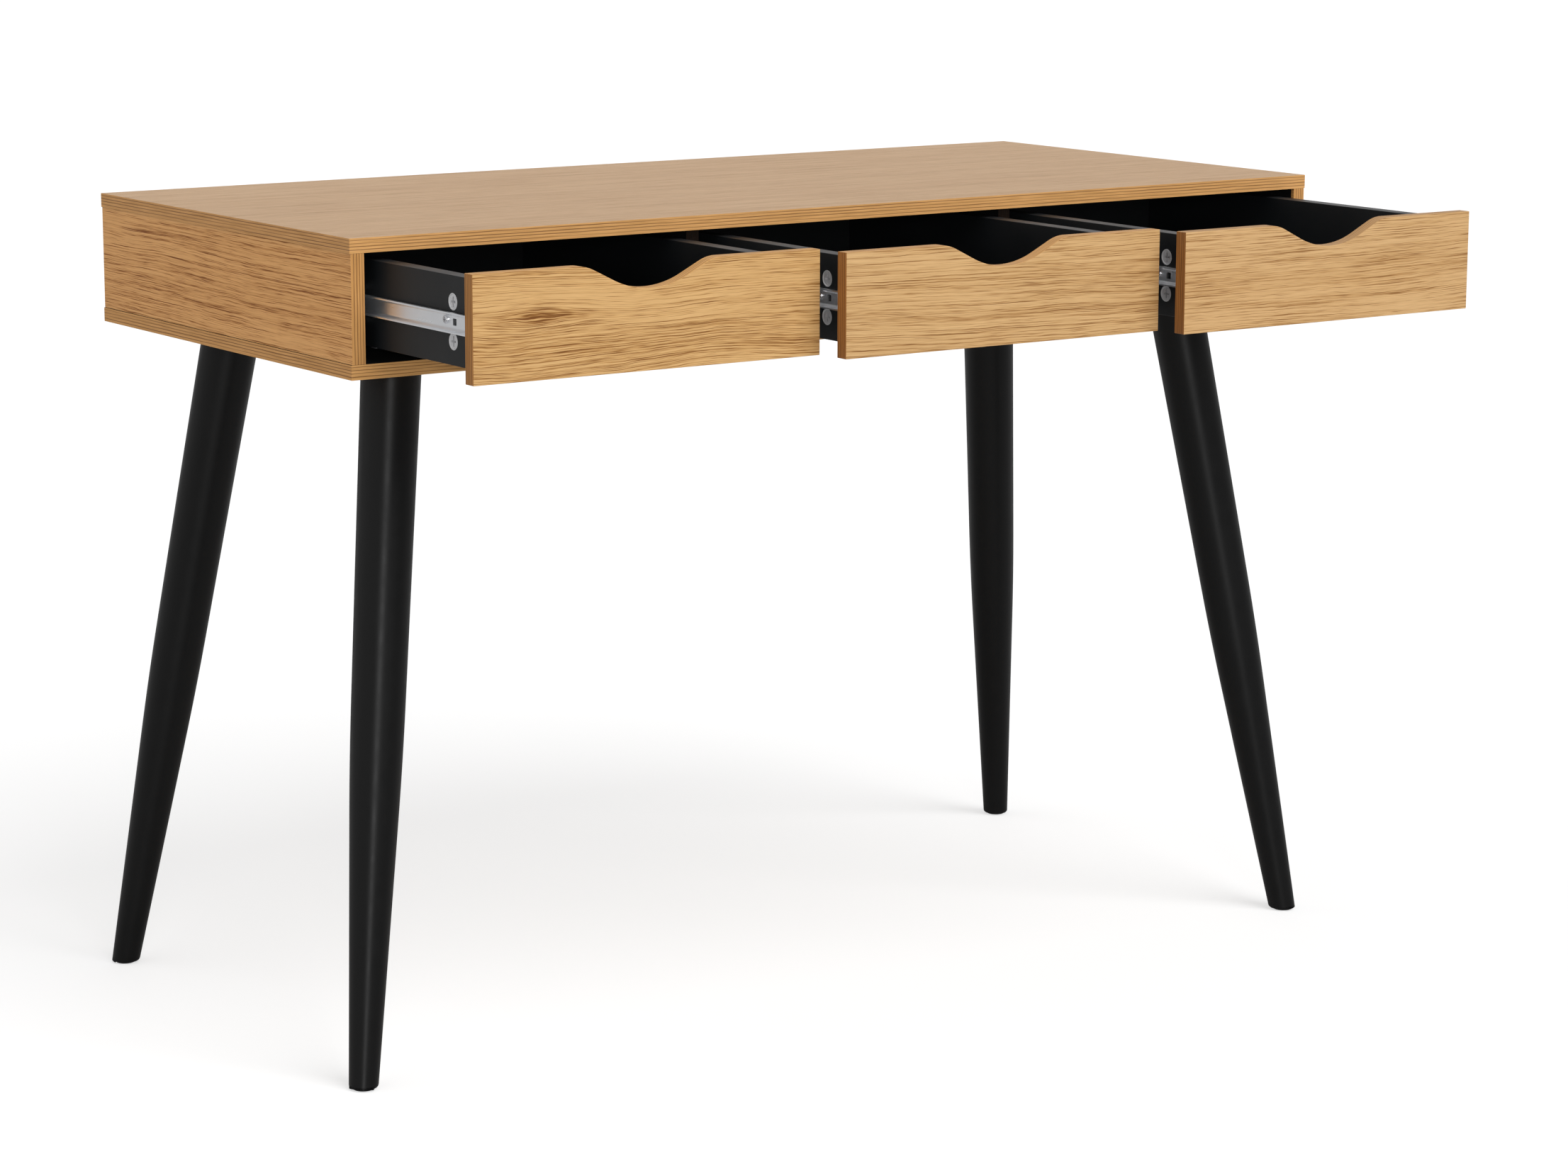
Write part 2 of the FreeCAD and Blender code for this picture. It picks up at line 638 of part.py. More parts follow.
def inner_runners(name, x_faces, rear):
    """The drawer's own two runners, each with a square latch hole and three pan-head screws."""
    screws = []
    shanks = []
    for side, face, outwards in x_faces:
        way = "+X" if outwards > 0 else "-X"
        back = "-X" if outwards > 0 else "+X"
        tag = "%s_inner_runner_%s" % (name, side)
        channel = extruded(tag + "_channel", inner_runner_section(outwards), "Sizes.runner_length")
        place(channel, face, "%s + Sizes.runner_length" % rear, RUNNER_Z)
        latch = block(tag + "_latch", "%s - 2" % face, "%s + 31" % rear, "%s - 2.8" % RUNNER_Z, 4, 6, 6)
        holes = [latch]
        for step in (48, 224, 400):
            spot = "%s_screw_%d" % (tag, step)
            y = "%s + %d" % (rear, step)
            z = "%s + 1.2" % RUNNER_Z
            web = "%s + %s" % (face, 1.2 * outwards)
            shank = rod(spot + "_shank", web, y, z, "Sizes.screw_radius", 11, back)
            head = rod(spot + "_head", web, y, z, 3.7, 1.2, way)
            crown = rod(spot + "_crown", "%s + %s" % (web, 1.2 * outwards), y, z, 2.9, 0.8, way)
            cross = cross_recess(spot, "%s + %s" % (web, 2 * outwards), y, z, 4.2, 4.2, outwards)
            holes.append(shank)
            shanks.append(shank)
            screws.append(cut(spot, weld(spot + "_blank", [shank, head, crown]), [cross]))
        node(tag, cut(tag + "_pierced", channel, holes))
    node(name + "_inner_runner_screws", gather(name + "_inner_runner_screws_group", screws))
    return shanks


def drawer(number):
    """One drawer: front, two sides, back and bottom, with its fittings and runners."""
    name = "drawer_%d" % number
    rear = "(%s + Sizes.board - Sizes.open_%d)" % (FRONT_Y, number)
    middle = "%d * %s" % (number - 2, BOX_PITCH)
    left = "(%s - %s / 2)" % (middle, BOX_WIDTH)
    right = "(%s + %s / 2)" % (middle, BOX_WIDTH)
    x_faces = (("left", left, -1), ("right", right, 1))
    cam_bores = drawer_cams(name, x_faces, rear)
    back_screws = drawer_back_screws(name, x_faces, rear)
    runner_shanks = inner_runners(name, x_faces, rear)
    inside = "%s - 2 * Sizes.side_board" % BOX_WIDTH
    back_y = "(%s + Sizes.runner_length - Sizes.side_board)" % rear
    bottom = block(name + "_bottom_board", "%s + Sizes.side_board - Sizes.bottom_groove" % left,
                   "%s - Sizes.bottom_groove" % rear, "%s + Sizes.bottom_lift" % SIDE_BOTTOM,
                   "%s + 2 * Sizes.bottom_groove" % inside,
                   "Sizes.runner_length - Sizes.side_board + 2 * Sizes.bottom_groove", "Sizes.drawer_bottom")
    node(name + "_bottom", bottom)
    for side, low in (("left", left), ("right", "%s - Sizes.side_board" % right)):
        board = block("%s_side_%s_blank" % (name, side), low, rear, SIDE_BOTTOM,
                      "Sizes.side_board", "Sizes.runner_length", "Sizes.side_height")
        tools = cam_bores + back_screws + runner_shanks + [bottom]
        node("%s_side_%s" % (name, side), cut("%s_side_%s_cut" % (name, side), ease(board), tools))
    back = block(name + "_back_blank", "%s + Sizes.side_board" % left, back_y, SIDE_BOTTOM,
                 inside, "Sizes.side_board", "Sizes.side_height")
    node(name + "_back", cut(name + "_back_cut", back, back_screws + [bottom]))
    drawer_front(name, number, rear, cam_bores + [bottom])
    ball_cages(number)


# ---------------------------------------------------------------- build, check and write
upright_bores = upright_fittings()
back_board, back_shanks = back_panel()
leg_shanks = legs()
runner_shanks = outer_runners()
case_boards(upright_bores, back_board, back_shanks, runner_shanks, leg_shanks)
for drawer_number in (1, 2, 3):
    drawer(drawer_number)
doc.recompute()

for item in doc.Objects:
    if "Invalid" in item.State or "Error" in item.State:
        raise RuntimeError("failed object: %s %s" % (item.Label, item.State))
for piece in nodes:
    if piece.Shape.isNull() or not piece.Shape.isValid() or piece.Shape.Volume <= 0:
        raise RuntimeError("bad shape: %s" % piece.Label)

whole = FreeCAD.BoundBox()
for piece in nodes:
    whole.add(piece.Shape.BoundBox)
print("nodes %d, box %s" % (len(nodes), whole))

os.makedirs("parts", exist_ok=True)
for piece in nodes:
    piece.Shape.exportStep(os.path.join("parts", piece.Label + ".step"))
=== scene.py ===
import math

import bpy
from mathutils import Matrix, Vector


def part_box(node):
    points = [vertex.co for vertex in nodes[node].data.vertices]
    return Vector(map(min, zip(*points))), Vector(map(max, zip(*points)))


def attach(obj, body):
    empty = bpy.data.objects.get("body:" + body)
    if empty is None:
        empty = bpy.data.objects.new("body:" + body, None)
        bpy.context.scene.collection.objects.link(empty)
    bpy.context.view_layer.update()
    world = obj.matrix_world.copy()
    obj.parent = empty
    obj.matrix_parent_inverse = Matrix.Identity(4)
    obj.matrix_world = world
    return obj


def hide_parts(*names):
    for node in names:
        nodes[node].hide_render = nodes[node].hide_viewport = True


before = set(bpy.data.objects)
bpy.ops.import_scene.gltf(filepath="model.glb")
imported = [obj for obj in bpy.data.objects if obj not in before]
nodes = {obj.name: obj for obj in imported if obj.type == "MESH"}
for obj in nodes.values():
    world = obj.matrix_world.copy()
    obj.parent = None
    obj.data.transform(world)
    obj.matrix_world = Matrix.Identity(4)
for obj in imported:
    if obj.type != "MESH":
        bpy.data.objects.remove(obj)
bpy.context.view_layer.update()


# ---------------------------------------------------------------- camera
# A long lens, a little above the desktop and round to the desk's left, so that the front and
# the left end both show. The lens is shifted slightly to keep the desk in the frame.
camera_azimuth = math.radians(33.735)
camera_drop = math.radians(11.019)
bpy.ops.object.camera_add(
    location=(-2.2352, -3.2325, 1.1435),
    rotation=(math.pi / 2 - camera_drop, 0, -camera_azimuth),
)
camera = bpy.context.object
camera.data.lens = 93.34
camera.data.sensor_width = 36
camera.data.shift_x = 0.0399
camera.data.shift_y = 0.0021
bpy.context.scene.camera = camera
bpy.context.scene.view_settings.view_transform = "Standard"


# ---------------------------------------------------------------- floor and light
# A wide pale studio floor with a matt finish. To the eye it is lit almost to white, so only a
# faint shadow shows under the desk, and it throws half of the light that falls on it back up.
bpy.ops.mesh.primitive_plane_add(size=120, location=(0, 0, 0))
floor = bpy.context.object
floor.name = "studio_floor"


def add_node(tree, kind, inputs=None, **settings):
    """Add a shader node; inputs are values or the output sockets that feed it."""
    made = tree.nodes.new(kind)
    for name, value in settings.items():
        setattr(made, name, value)
    for name, value in (inputs or {}).items():
        if isinstance(value, bpy.types.NodeSocket):
            tree.links.new(value, made.inputs[name])
        else:
            made.inputs[name].default_value = value
    return made


def new_material(name):
    """An empty material, its node tree and its output node."""
    material = bpy.data.materials.new(name)
    material.use_nodes = True
    tree = material.node_tree
    tree.nodes.clear()
    return material, tree, tree.nodes.new("ShaderNodeOutputMaterial")


half_grey = (0.5, 0.5, 0.5, 1)
pure_white = (1, 1, 1, 1)
floor_glow = 0.605
floor_paint, tree, surface = new_material("floor_paint")
bounce = add_node(tree, "ShaderNodeBsdfDiffuse", {"Color": half_grey})
veil = add_node(tree, "ShaderNodeBsdfDiffuse", {"Color": half_grey})
glow = add_node(tree, "ShaderNodeEmission", {"Color": pure_white, "Strength": floor_glow})
seen = add_node(tree, "ShaderNodeAddShader", {0: veil.outputs[0], 1: glow.outputs[0]})
rays = add_node(tree, "ShaderNodeLightPath")
both = add_node(tree, "ShaderNodeMixShader",
                {0: rays.outputs["Is Camera Ray"], 1: bounce.outputs[0], 2: seen.outputs[0]})
tree.links.new(both.outputs[0], surface.inputs["Surface"])
floor.data.materials.append(floor_paint)

# An even pale room of light. Where the eye meets it directly, it is pure white.
room_light = 0.30
room = bpy.data.worlds.new("pale_room")
room.use_nodes = True
bpy.context.scene.world = room
tree = room.node_tree
tree.nodes.clear()
dim = add_node(tree, "ShaderNodeBackground", {"Color": pure_white, "Strength": room_light})
white = add_node(tree, "ShaderNodeBackground", {"Color": pure_white, "Strength": 1.0})
rays = add_node(tree, "ShaderNodeLightPath")
both = add_node(tree, "ShaderNodeMixShader",
                {0: rays.outputs["Is Camera Ray"], 1: dim.outputs[0], 2: white.outputs[0]})
add_node(tree, "ShaderNodeOutputWorld", {"Surface": both.outputs[0]})

# Distant soft lights: the key, high in front and a little to the right, a weaker one for the
# left end, a small one from behind the eye that draws a line of light down each leg, and a low
# one from behind that puts a sheen on the desktop.
for light_name, towards_light, energy, spread in (
        ("key", (0.10, -0.45, 0.45), 2.05, 45),
        ("end_fill", (-0.98, 0.15, 0.55), 0.70, 90),
        ("leg_line", (-0.47, -0.87, 0.12), 0.54, 10),
        ("back_sheen", (0.55, 0.82, 0.24), 0.28, 50)):
    turn = Vector(towards_light).to_track_quat("Z", "Y").to_euler()
    bpy.ops.object.light_add(type="SUN", rotation=turn)
    light = bpy.context.object
    light.name = light_name
    light.data.energy = energy
    light.data.angle = math.radians(spread)


# ---------------------------------------------------------------- the case
# A shallow box of oak-veneered plywood: a top and a bottom board with two side panels and two
# dividers between them, and a back panel in a groove. The cut edges show their plies. The inside
# faces and the dividers' front edges are coloured near-black, far darker than any finish: painted
# shade for the dark inside of the case.
def new_group(name, inputs, outputs):
    """An empty shader group with named sockets, and its input and output nodes."""
    group = bpy.data.node_groups.new(name, "ShaderNodeTree")
    for socket, kind in inputs:
        group.interface.new_socket(name=socket, in_out="INPUT", socket_type="NodeSocket" + kind)
    for socket, kind in outputs:
        group.interface.new_socket(name=socket, in_out="OUTPUT", socket_type="NodeSocket" + kind)
    return group, group.nodes.new("NodeGroupInput"), group.nodes.new("NodeGroupOutput")


def use_group(tree, group, inputs):
    """Place a shader group in a material with that material's own values."""
    placed = tree.nodes.new("ShaderNodeGroup")
    placed.node_tree = group
    for name, value in inputs.items():
        if isinstance(value, bpy.types.NodeSocket):
            tree.links.new(value, placed.inputs[name])
        else:
            placed.inputs[name].default_value = value
    return placed


def maths(tree, operation, first, second=0.0, third=0.0):
    """One arithmetic step; returns its output socket."""
    made = add_node(tree, "ShaderNodeMath", {0: first, 1: second, 2: third}, operation=operation)
    return made.outputs[0]


def stretched_noise(tree, along, across, depth, detail=2.0):
    """Noise from three separately scaled directions; returns a value of about 0.3 to 0.7."""
    spot = add_node(tree, "ShaderNodeCombineXYZ", {0: along, 1: across, 2: depth})
    noise = add_node(tree, "ShaderNodeTexNoise", {
        "Vector": spot.outputs[0], "Scale": 1.0, "Detail": detail, "Roughness": 0.5})
    return noise.outputs["Fac"]


def ramp(tree, value, start, end, low=0.0, high=1.0):
    """Map a range of a value onto another, clamped; returns the output socket."""
    made = add_node(tree, "ShaderNodeMapRange", {
        "Value": value, "From Min": start, "From Max": end, "To Min": low, "To Max": high})
    return made.outputs["Result"]


def mix_colours(tree, share, first, second, blend="MIX"):
    """Mix two colours by a share; returns the colour socket."""
    made = tree.nodes.new("ShaderNodeMix")
    made.data_type = "RGBA"
    made.blend_type = blend
    for index, value in ((0, share), (6, first), (7, second)):
        if isinstance(value, bpy.types.NodeSocket):
            tree.links.new(value, made.inputs[index])
        else:
            made.inputs[index].default_value = value
    return made.outputs[2]


# Oak veneer, with the grain along the first direction of Place. Slow waves carry long dark
# lines, which break up into the short open pores of spring wood. The lines part round a small
# knot at the point Knot.
oak_veneer, given, result = new_group(
    "oak_veneer",
    [("Place", "Vector"), ("Seed", "Float"), ("Figure", "Float"), ("Pores", "Float"),
     ("Knot", "Vector"), ("Tint", "Color")],
    [("Color", "Color"), ("Roughness", "Float"), ("Height", "Float")],
)
knot_length = 0.045
knot_width = 0.011
knot_parting = 0.75
axes = add_node(oak_veneer, "ShaderNodeSeparateXYZ", {0: given.outputs["Place"]})
knot = add_node(oak_veneer, "ShaderNodeSeparateXYZ", {0: given.outputs["Knot"]})
seed = given.outputs["Seed"]
along = axes.outputs[0]
layer = maths(oak_veneer, "MULTIPLY_ADD", axes.outputs[2], 2.0, seed)

from_knot = maths(oak_veneer, "SUBTRACT", axes.outputs[1], knot.outputs[1])
knot_u = maths(
    oak_veneer, "DIVIDE", maths(oak_veneer, "SUBTRACT", along, knot.outputs[0]), knot_length)
knot_v = maths(oak_veneer, "DIVIDE", from_knot, knot_width)
knot_far = maths(oak_veneer, "ADD", maths(oak_veneer, "MULTIPLY", knot_u, knot_u),
                 maths(oak_veneer, "MULTIPLY", knot_v, knot_v))
knot_near = maths(oak_veneer, "EXPONENT", maths(oak_veneer, "MULTIPLY", knot_far, -1.0))
parting = maths(oak_veneer, "MULTIPLY", from_knot, maths(oak_veneer, "MULTIPLY", knot_near, -knot_parting))
across = maths(oak_veneer, "ADD", axes.outputs[1], parting)


def bend_grain(across, along_scale, across_scale, reach):
    """Push the grain sideways by a slow noise; reach is a length in metres or a socket."""
    push = stretched_noise(
        oak_veneer, maths(oak_veneer, "MULTIPLY", along, along_scale),
        maths(oak_veneer, "MULTIPLY", across, across_scale), layer)
    return maths(oak_veneer, "MULTIPLY_ADD", maths(oak_veneer, "SUBTRACT", push, 0.5), reach, across)


def grain_noise(along_scale, across_scale, detail=2.0):
    """Noise drawn out along the grain."""
    return stretched_noise(
        oak_veneer, maths(oak_veneer, "MULTIPLY", along, along_scale),
        maths(oak_veneer, "MULTIPLY", across, across_scale), layer, detail)


figure = given.outputs["Figure"]
slow_wave = 0.030
small_wave = 0.004
shiver = 0.0010
across = bend_grain(across, 2.2, 5.0, maths(oak_veneer, "MULTIPLY", figure, slow_wave))
across = bend_grain(across, 11.0, 22.0, maths(oak_veneer, "MULTIPLY", figure, small_wave))
across = bend_grain(across, 55.0, 120.0, shiver)

lines = grain_noise(8.0, 1150.0, detail=1.0)
dashes = grain_noise(42.0, 1900.0, detail=1.0)
bands = grain_noise(1.4, 60.0)
patches = grain_noise(1.6, 16.0)
fibres = grain_noise(45.0, 2300.0)

# Depth is how deep in the dark spring wood a spot lies: soft streaks first, open pores past that.
dash_share = 0.46
line_share = 0.54
depth_lift = 0.08
knot_darkening = 0.12
streak_depths = (0.56, 0.70)
pore_depths = (0.635, 0.75)
banding = maths(oak_veneer, "MULTIPLY_ADD", figure, 0.25, -0.10)
depth = maths(oak_veneer, "MULTIPLY", lines, line_share)
depth = maths(oak_veneer, "MULTIPLY_ADD", dashes, dash_share, depth)
depth = maths(oak_veneer, "MULTIPLY_ADD", maths(oak_veneer, "SUBTRACT", bands, 0.5), banding, depth)
depth = maths(oak_veneer, "ADD", depth, depth_lift)
depth = maths(oak_veneer, "MULTIPLY_ADD", knot_near, knot_darkening, depth)
streaks = maths(oak_veneer, "MULTIPLY", ramp(oak_veneer, depth, *streak_depths), given.outputs["Pores"])
pores = maths(oak_veneer, "MULTIPLY", ramp(oak_veneer, depth, *pore_depths), given.outputs["Pores"])
soft = ramp(oak_veneer, maths(oak_veneer, "MULTIPLY_ADD", bands, 0.5, lines), 0.62, 0.95)

pale_wood = (0.82, 0.49, 0.195, 1)
deep_wood = (0.66, 0.36, 0.12, 1)
patch_wood = (0.84, 0.52, 0.22, 1)
dark_fibre = (0.90, 0.87, 0.84, 1)
light_fibre = (1.07, 1.07, 1.07, 1)
streak_wood = (0.46, 0.195, 0.036, 1)
pore_wood = (0.21, 0.070, 0.010, 1)
streak_strength = 0.60
pore_strength = 0.72
wood = mix_colours(oak_veneer, soft, pale_wood, deep_wood)
wood = mix_colours(oak_veneer, ramp(oak_veneer, patches, 0.35, 0.65, 0.0, 0.3), wood, patch_wood)
fibre_shade = mix_colours(oak_veneer, ramp(oak_veneer, fibres, 0.3, 0.7), dark_fibre, light_fibre)
wood = mix_colours(oak_veneer, 1.0, wood, fibre_shade, "MULTIPLY")
wood = mix_colours(oak_veneer, maths(oak_veneer, "MULTIPLY", streaks, streak_strength), wood, streak_wood)
wood = mix_colours(oak_veneer, maths(oak_veneer, "MULTIPLY", pores, pore_strength), wood, pore_wood)
wood = mix_colours(oak_veneer, 1.0, wood, given.outputs["Tint"], "MULTIPLY")
oak_veneer.links.new(wood, result.inputs["Color"])
oak_veneer.links.new(ramp(oak_veneer, pores, 0.0, 1.0, 0.42, 0.62), result.inputs["Roughness"])
oak_veneer.links.new(maths(oak_veneer, "SUBTRACT", 1.0, pores), result.inputs["Height"])

# The cut edge of the plywood. Through runs from 0 at one face of the board to 1 at the other,
# and thin dark glue lines part the plies. Tone is lower where the edge shows mostly end grain,
# and on the drawer fronts lower still as painted shade.
glue_lines = (0.22, 0.44, 0.64, 0.85)
glue_half = 0.042
ply_edge, given, result = new_group(
    "ply_edge",
    [("Through", "Float"), ("Place", "Vector"), ("Seed", "Float"), ("Tone", "Float")],
    [("Color", "Color"), ("Roughness", "Float"), ("Height", "Float")],
)
axes = add_node(ply_edge, "ShaderNodeSeparateXYZ", {0: given.outputs["Place"]})
along = axes.outputs[0]
across = axes.outputs[1]
depth = axes.outputs[2]
seed = given.outputs["Seed"]


def ply_noise(face_scale, through_scale, detail=2.0):
    """Noise in the cut edge, far finer through the board than along its faces."""
    return stretched_noise(
        ply_edge, maths(ply_edge, "MULTIPLY", along, face_scale),
        maths(ply_edge, "MULTIPLY", across, face_scale),
        maths(ply_edge, "MULTIPLY_ADD", depth, through_scale, seed), detail)


glue_wander = 0.10
pale_ply = (0.81, 0.435, 0.155, 1)
dark_ply = (0.58, 0.295, 0.09, 1)
glue_brown = (0.15, 0.055, 0.012, 1)
end_grain_shade = (0.53, 0.38, 0.22, 1)
wobble = maths(ply_edge, "SUBTRACT", ply_noise(9.0, 160.0, detail=3.0), 0.5)
level = maths(ply_edge, "MULTIPLY_ADD", wobble, glue_wander, given.outputs["Through"])
plies = add_node(ply_edge, "ShaderNodeValToRGB", {0: level})
plies.color_ramp.elements.remove(plies.color_ramp.elements[0])
plies.color_ramp.elements[0].position = 0.0
plies.color_ramp.elements[0].color = (0, 0, 0, 1)
for glue in glue_lines:
    for offset, shade in ((-glue_half, 0.0), (0.0, 1.0), (glue_half, 0.0)):
        stop = plies.color_ramp.elements.new(glue + offset)
        stop.color = (shade, shade, shade, 1)
fade = ramp(ply_edge, ply_noise(5.0, 300.0), 0.35, 0.6, 0.45, 1.0)
glue_seen = maths(ply_edge, "MULTIPLY", plies.outputs["Color"], fade)
streaks = ply_noise(30.0, 1800.0, detail=3.0)
edge_wood = mix_colours(ply_edge, ramp(ply_edge, streaks, 0.35, 0.65), dark_ply, pale_ply)
edge_wood = mix_colours(ply_edge, glue_seen, edge_wood, glue_brown)
end_grain = mix_colours(ply_edge, 1.0, edge_wood, end_grain_shade, "MULTIPLY")
edge_wood = mix_colours(ply_edge, given.outputs["Tone"], end_grain, edge_wood)
ply_edge.links.new(edge_wood, result.inputs["Color"])
ply_edge.links.new(ramp(ply_edge, streaks, 0.3, 0.7, 0.62, 0.5), result.inputs["Roughness"])
ply_edge.links.new(maths(ply_edge, "SUBTRACT", 1.0, glue_seen), result.inputs["Height"])


def finish_surface(tree, surface, inputs):
    """Give a material its one shader."""
    shader = add_node(tree, "ShaderNodeBsdfPrincipled", inputs)
    tree.links.new(shader.outputs[0], surface.inputs["Surface"])


no_knot = (9, 9)
untinted = (1, 1, 1, 1)
facing_range = (0.55, 0.75)
# Inside the case the oak is coloured near-black, far darker than any finish: painted shade.
painted_shade_black = (0.0003, 0.0003, 0.0003, 1)
painted_shade_roughness = 0.95
painted_shade_fade = 0.001


def oak_board(name, node, grain, through, seed, figure=0.5, pores=0.8, knot=no_knot, tint=untinted,
              edge_tint=untinted, end_tone=0.75, sheen=0.32, painted_shade_side=0, painted_shade_from=None):
    """The material of one plywood board.

    grain and through are the axes, 0 to 2, that the veneer runs along and that the thickness
    lies on. knot is where a knot lies, along and across the grain, or off the board for none.
    tint is a colour that the veneer is multiplied by, and edge_tint one for its cut edges;
    on some boards they also carry painted shade. end_tone is how pale the end grain is, from
    0 to 1, and on the drawer fronts it is set lower still as painted shade. sheen is how
    strongly the surface reflects. The painted-shade side is the side of the thickness
    coloured near-black as painted shade: -1, 1, 0 for none or 2 for both. The last argument
    is the Y where that starts."""
    low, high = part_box(node)
    material, tree, surface = new_material(name)
    where = add_node(tree, "ShaderNodeTexCoord")
    spot = add_node(tree, "ShaderNodeSeparateXYZ", {0: where.outputs["Object"]})
    facing = add_node(tree, "ShaderNodeSeparateXYZ", {0: where.outputs["Normal"]})
    width = 3 - grain - through
    place = add_node(tree, "ShaderNodeCombineXYZ", {
        0: spot.outputs[grain], 1: spot.outputs[width], 2: spot.outputs[through]})
    veneer = use_group(tree, oak_veneer, {
        "Place": place.outputs[0], "Seed": seed, "Figure": figure, "Pores": pores,
        "Knot": (knot[0], knot[1], 0), "Tint": tint})
    level = ramp(tree, spot.outputs[through], low[through], high[through])
    end_turned = maths(tree, "ABSOLUTE", facing.outputs[grain])
    tone = ramp(tree, end_turned, *facing_range, 1.0, end_tone)
    edge = use_group(tree, ply_edge, {
        "Through": level, "Place": place.outputs[0], "Seed": seed, "Tone": tone})
    turned = maths(tree, "ABSOLUTE", facing.outputs[through])
    is_face = ramp(tree, turned, *facing_range)
    cut_edge = mix_colours(tree, 1.0, edge.outputs["Color"], edge_tint, "MULTIPLY")
    colour = mix_colours(tree, is_face, cut_edge, veneer.outputs["Color"])
    roughness = add_node(tree, "ShaderNodeMix", {
        0: is_face, 2: edge.outputs["Roughness"], 3: veneer.outputs["Roughness"]}).outputs[0]
    height = add_node(tree, "ShaderNodeMix", {
        0: is_face, 2: edge.outputs["Height"], 3: veneer.outputs["Height"]}).outputs[0]
    # The painted-shade side is coloured near-black, as painted shade for the dark inside of the case.
    if painted_shade_side:
        side = turned
        if painted_shade_side != 2:
            side = maths(tree, "MULTIPLY", facing.outputs[through], float(painted_shade_side))
        black = ramp(tree, side, *facing_range)
        if painted_shade_from is not None:
            start = ramp(tree, spot.outputs[1], painted_shade_from, painted_shade_from + painted_shade_fade)
            black = maths(tree, "MULTIPLY", black, start)
        colour = mix_colours(tree, black, colour, painted_shade_black)
        roughness = add_node(tree, "ShaderNodeMix", {0: black, 2: roughness, 3: painted_shade_roughness}).outputs[0]
    bump = add_node(tree, "ShaderNodeBump", {"Strength": 0.35, "Distance": 0.0004, "Height": height})
    finish_surface(tree, surface, {
        "Base Color": colour, "Roughness": roughness, "Normal": bump.outputs[0],
        "Specular IOR Level": sheen})
    return material


def finish_node(node, material):
    """Give a CAD node its finish."""
    nodes[node].data.materials.clear()
    nodes[node].data.materials.append(material)


def start_piece():
    """Nothing stays selected, so that the next operators act on the new piece alone."""
    bpy.ops.object.select_all(action="DESELECT")


def apply_place():
    """Set the selected piece's place, turn and size into its mesh."""
    bpy.ops.object.transform_apply(location=True, rotation=True, scale=True)


def apply_modifier(piece, kind, **settings):
    """Give the active piece a modifier with these settings and apply it."""
    bpy.ops.object.modifier_add(type=kind)
    for name, value in settings.items():
        setattr(piece.modifiers[-1], name, value)
    bpy.ops.object.modifier_apply(modifier=piece.modifiers[-1].name)


def select_vertices(piece, chosen):
    """Go into edit mode with only the vertices selected for which chosen(position) is true."""
    bpy.ops.object.mode_set(mode="OBJECT")
    for polygon in piece.data.polygons:
        polygon.select = False
    for edge in piece.data.edges:
        edge.select = False
    for vertex in piece.data.vertices:
        vertex.select = chosen(vertex.co)
    bpy.ops.object.mode_set(mode="EDIT")
    bpy.ops.mesh.select_mode(type="VERT")


def settle_piece(piece, name, material, slot, body, *stands_for):
    """Leave edit mode, set a piece's place into its mesh, shade it and fix it to its body."""
    if bpy.context.object.mode != "OBJECT":
        bpy.ops.object.mode_set(mode="OBJECT")
    start_piece()
    piece.select_set(True)
    bpy.context.view_layer.objects.active = piece
    apply_place()
    bpy.ops.object.shade_smooth_by_angle(angle=math.radians(32))
    apply_modifier(piece, "WEIGHTED_NORMAL", keep_sharp=True)
    piece.name = name
    piece.data.name = name
    piece.data.materials.clear()
    piece.data.materials.append(material)
    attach(piece, body)
    if stands_for:
        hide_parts(*stands_for)


def cut_away(piece, cutter):
    """Cut one piece's shape out of another and delete the cutter."""
    start_piece()
    piece.select_set(True)
    bpy.context.view_layer.objects.active = piece
    apply_modifier(piece, "BOOLEAN", operation="DIFFERENCE", object=cutter)
    start_piece()
    cutter.select_set(True)
    bpy.ops.object.delete()


def sawn_board(node, easing):
    """A plain board the size of a CAD node, with its edges eased."""
    low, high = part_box(node)
    start_piece()
    bpy.ops.mesh.primitive_cube_add(size=1, location=(low + high) / 2)
    board = bpy.context.object
    board.scale = high - low
    apply_place()
    bpy.ops.object.mode_set(mode="EDIT")
    bpy.ops.mesh.select_all(action="SELECT")
    bpy.ops.mesh.bevel(offset=easing, segments=2, affect="EDGES")
    bpy.ops.object.mode_set(mode="OBJECT")
    return board


def round_bar(sides, radius, length, middle, turn=(0, math.pi / 2, 0)):
    """A plain cylinder, lying along X unless turned another way."""
    start_piece()
    bpy.ops.mesh.primitive_cylinder_add(
        vertices=sides, radius=radius, depth=length, location=middle, rotation=turn)
    apply_place()
    return bpy.context.object


board_easing = 0.0004
pocket_radius = 0.0075
pocket_depth = 0.011
pocket_from_edge = 0.020
# The desktop's veneer is tinted darker and cooler than the other boards': painted shade that offsets the
# sheen lamp on it.
for name, seed, pores, side, sheen, tint in (
        ("top", 11.3, 0.55, -1, 0.45, (0.74, 0.755, 0.86, 1)),
        ("bottom", 4.1, 0.8, 1, 0.32, untinted)):
    # The top's underside and the bottom's upper face are coloured near-black as painted shade.
    node = name + "_board"
    oak = oak_board("oak_" + name, node, 0, 2, seed, 0.5, pores, tint=tint, sheen=sheen, painted_shade_side=side)
    settle_piece(sawn_board(node, board_easing), "oak_" + node, oak, "oak_plywood", "case", node)

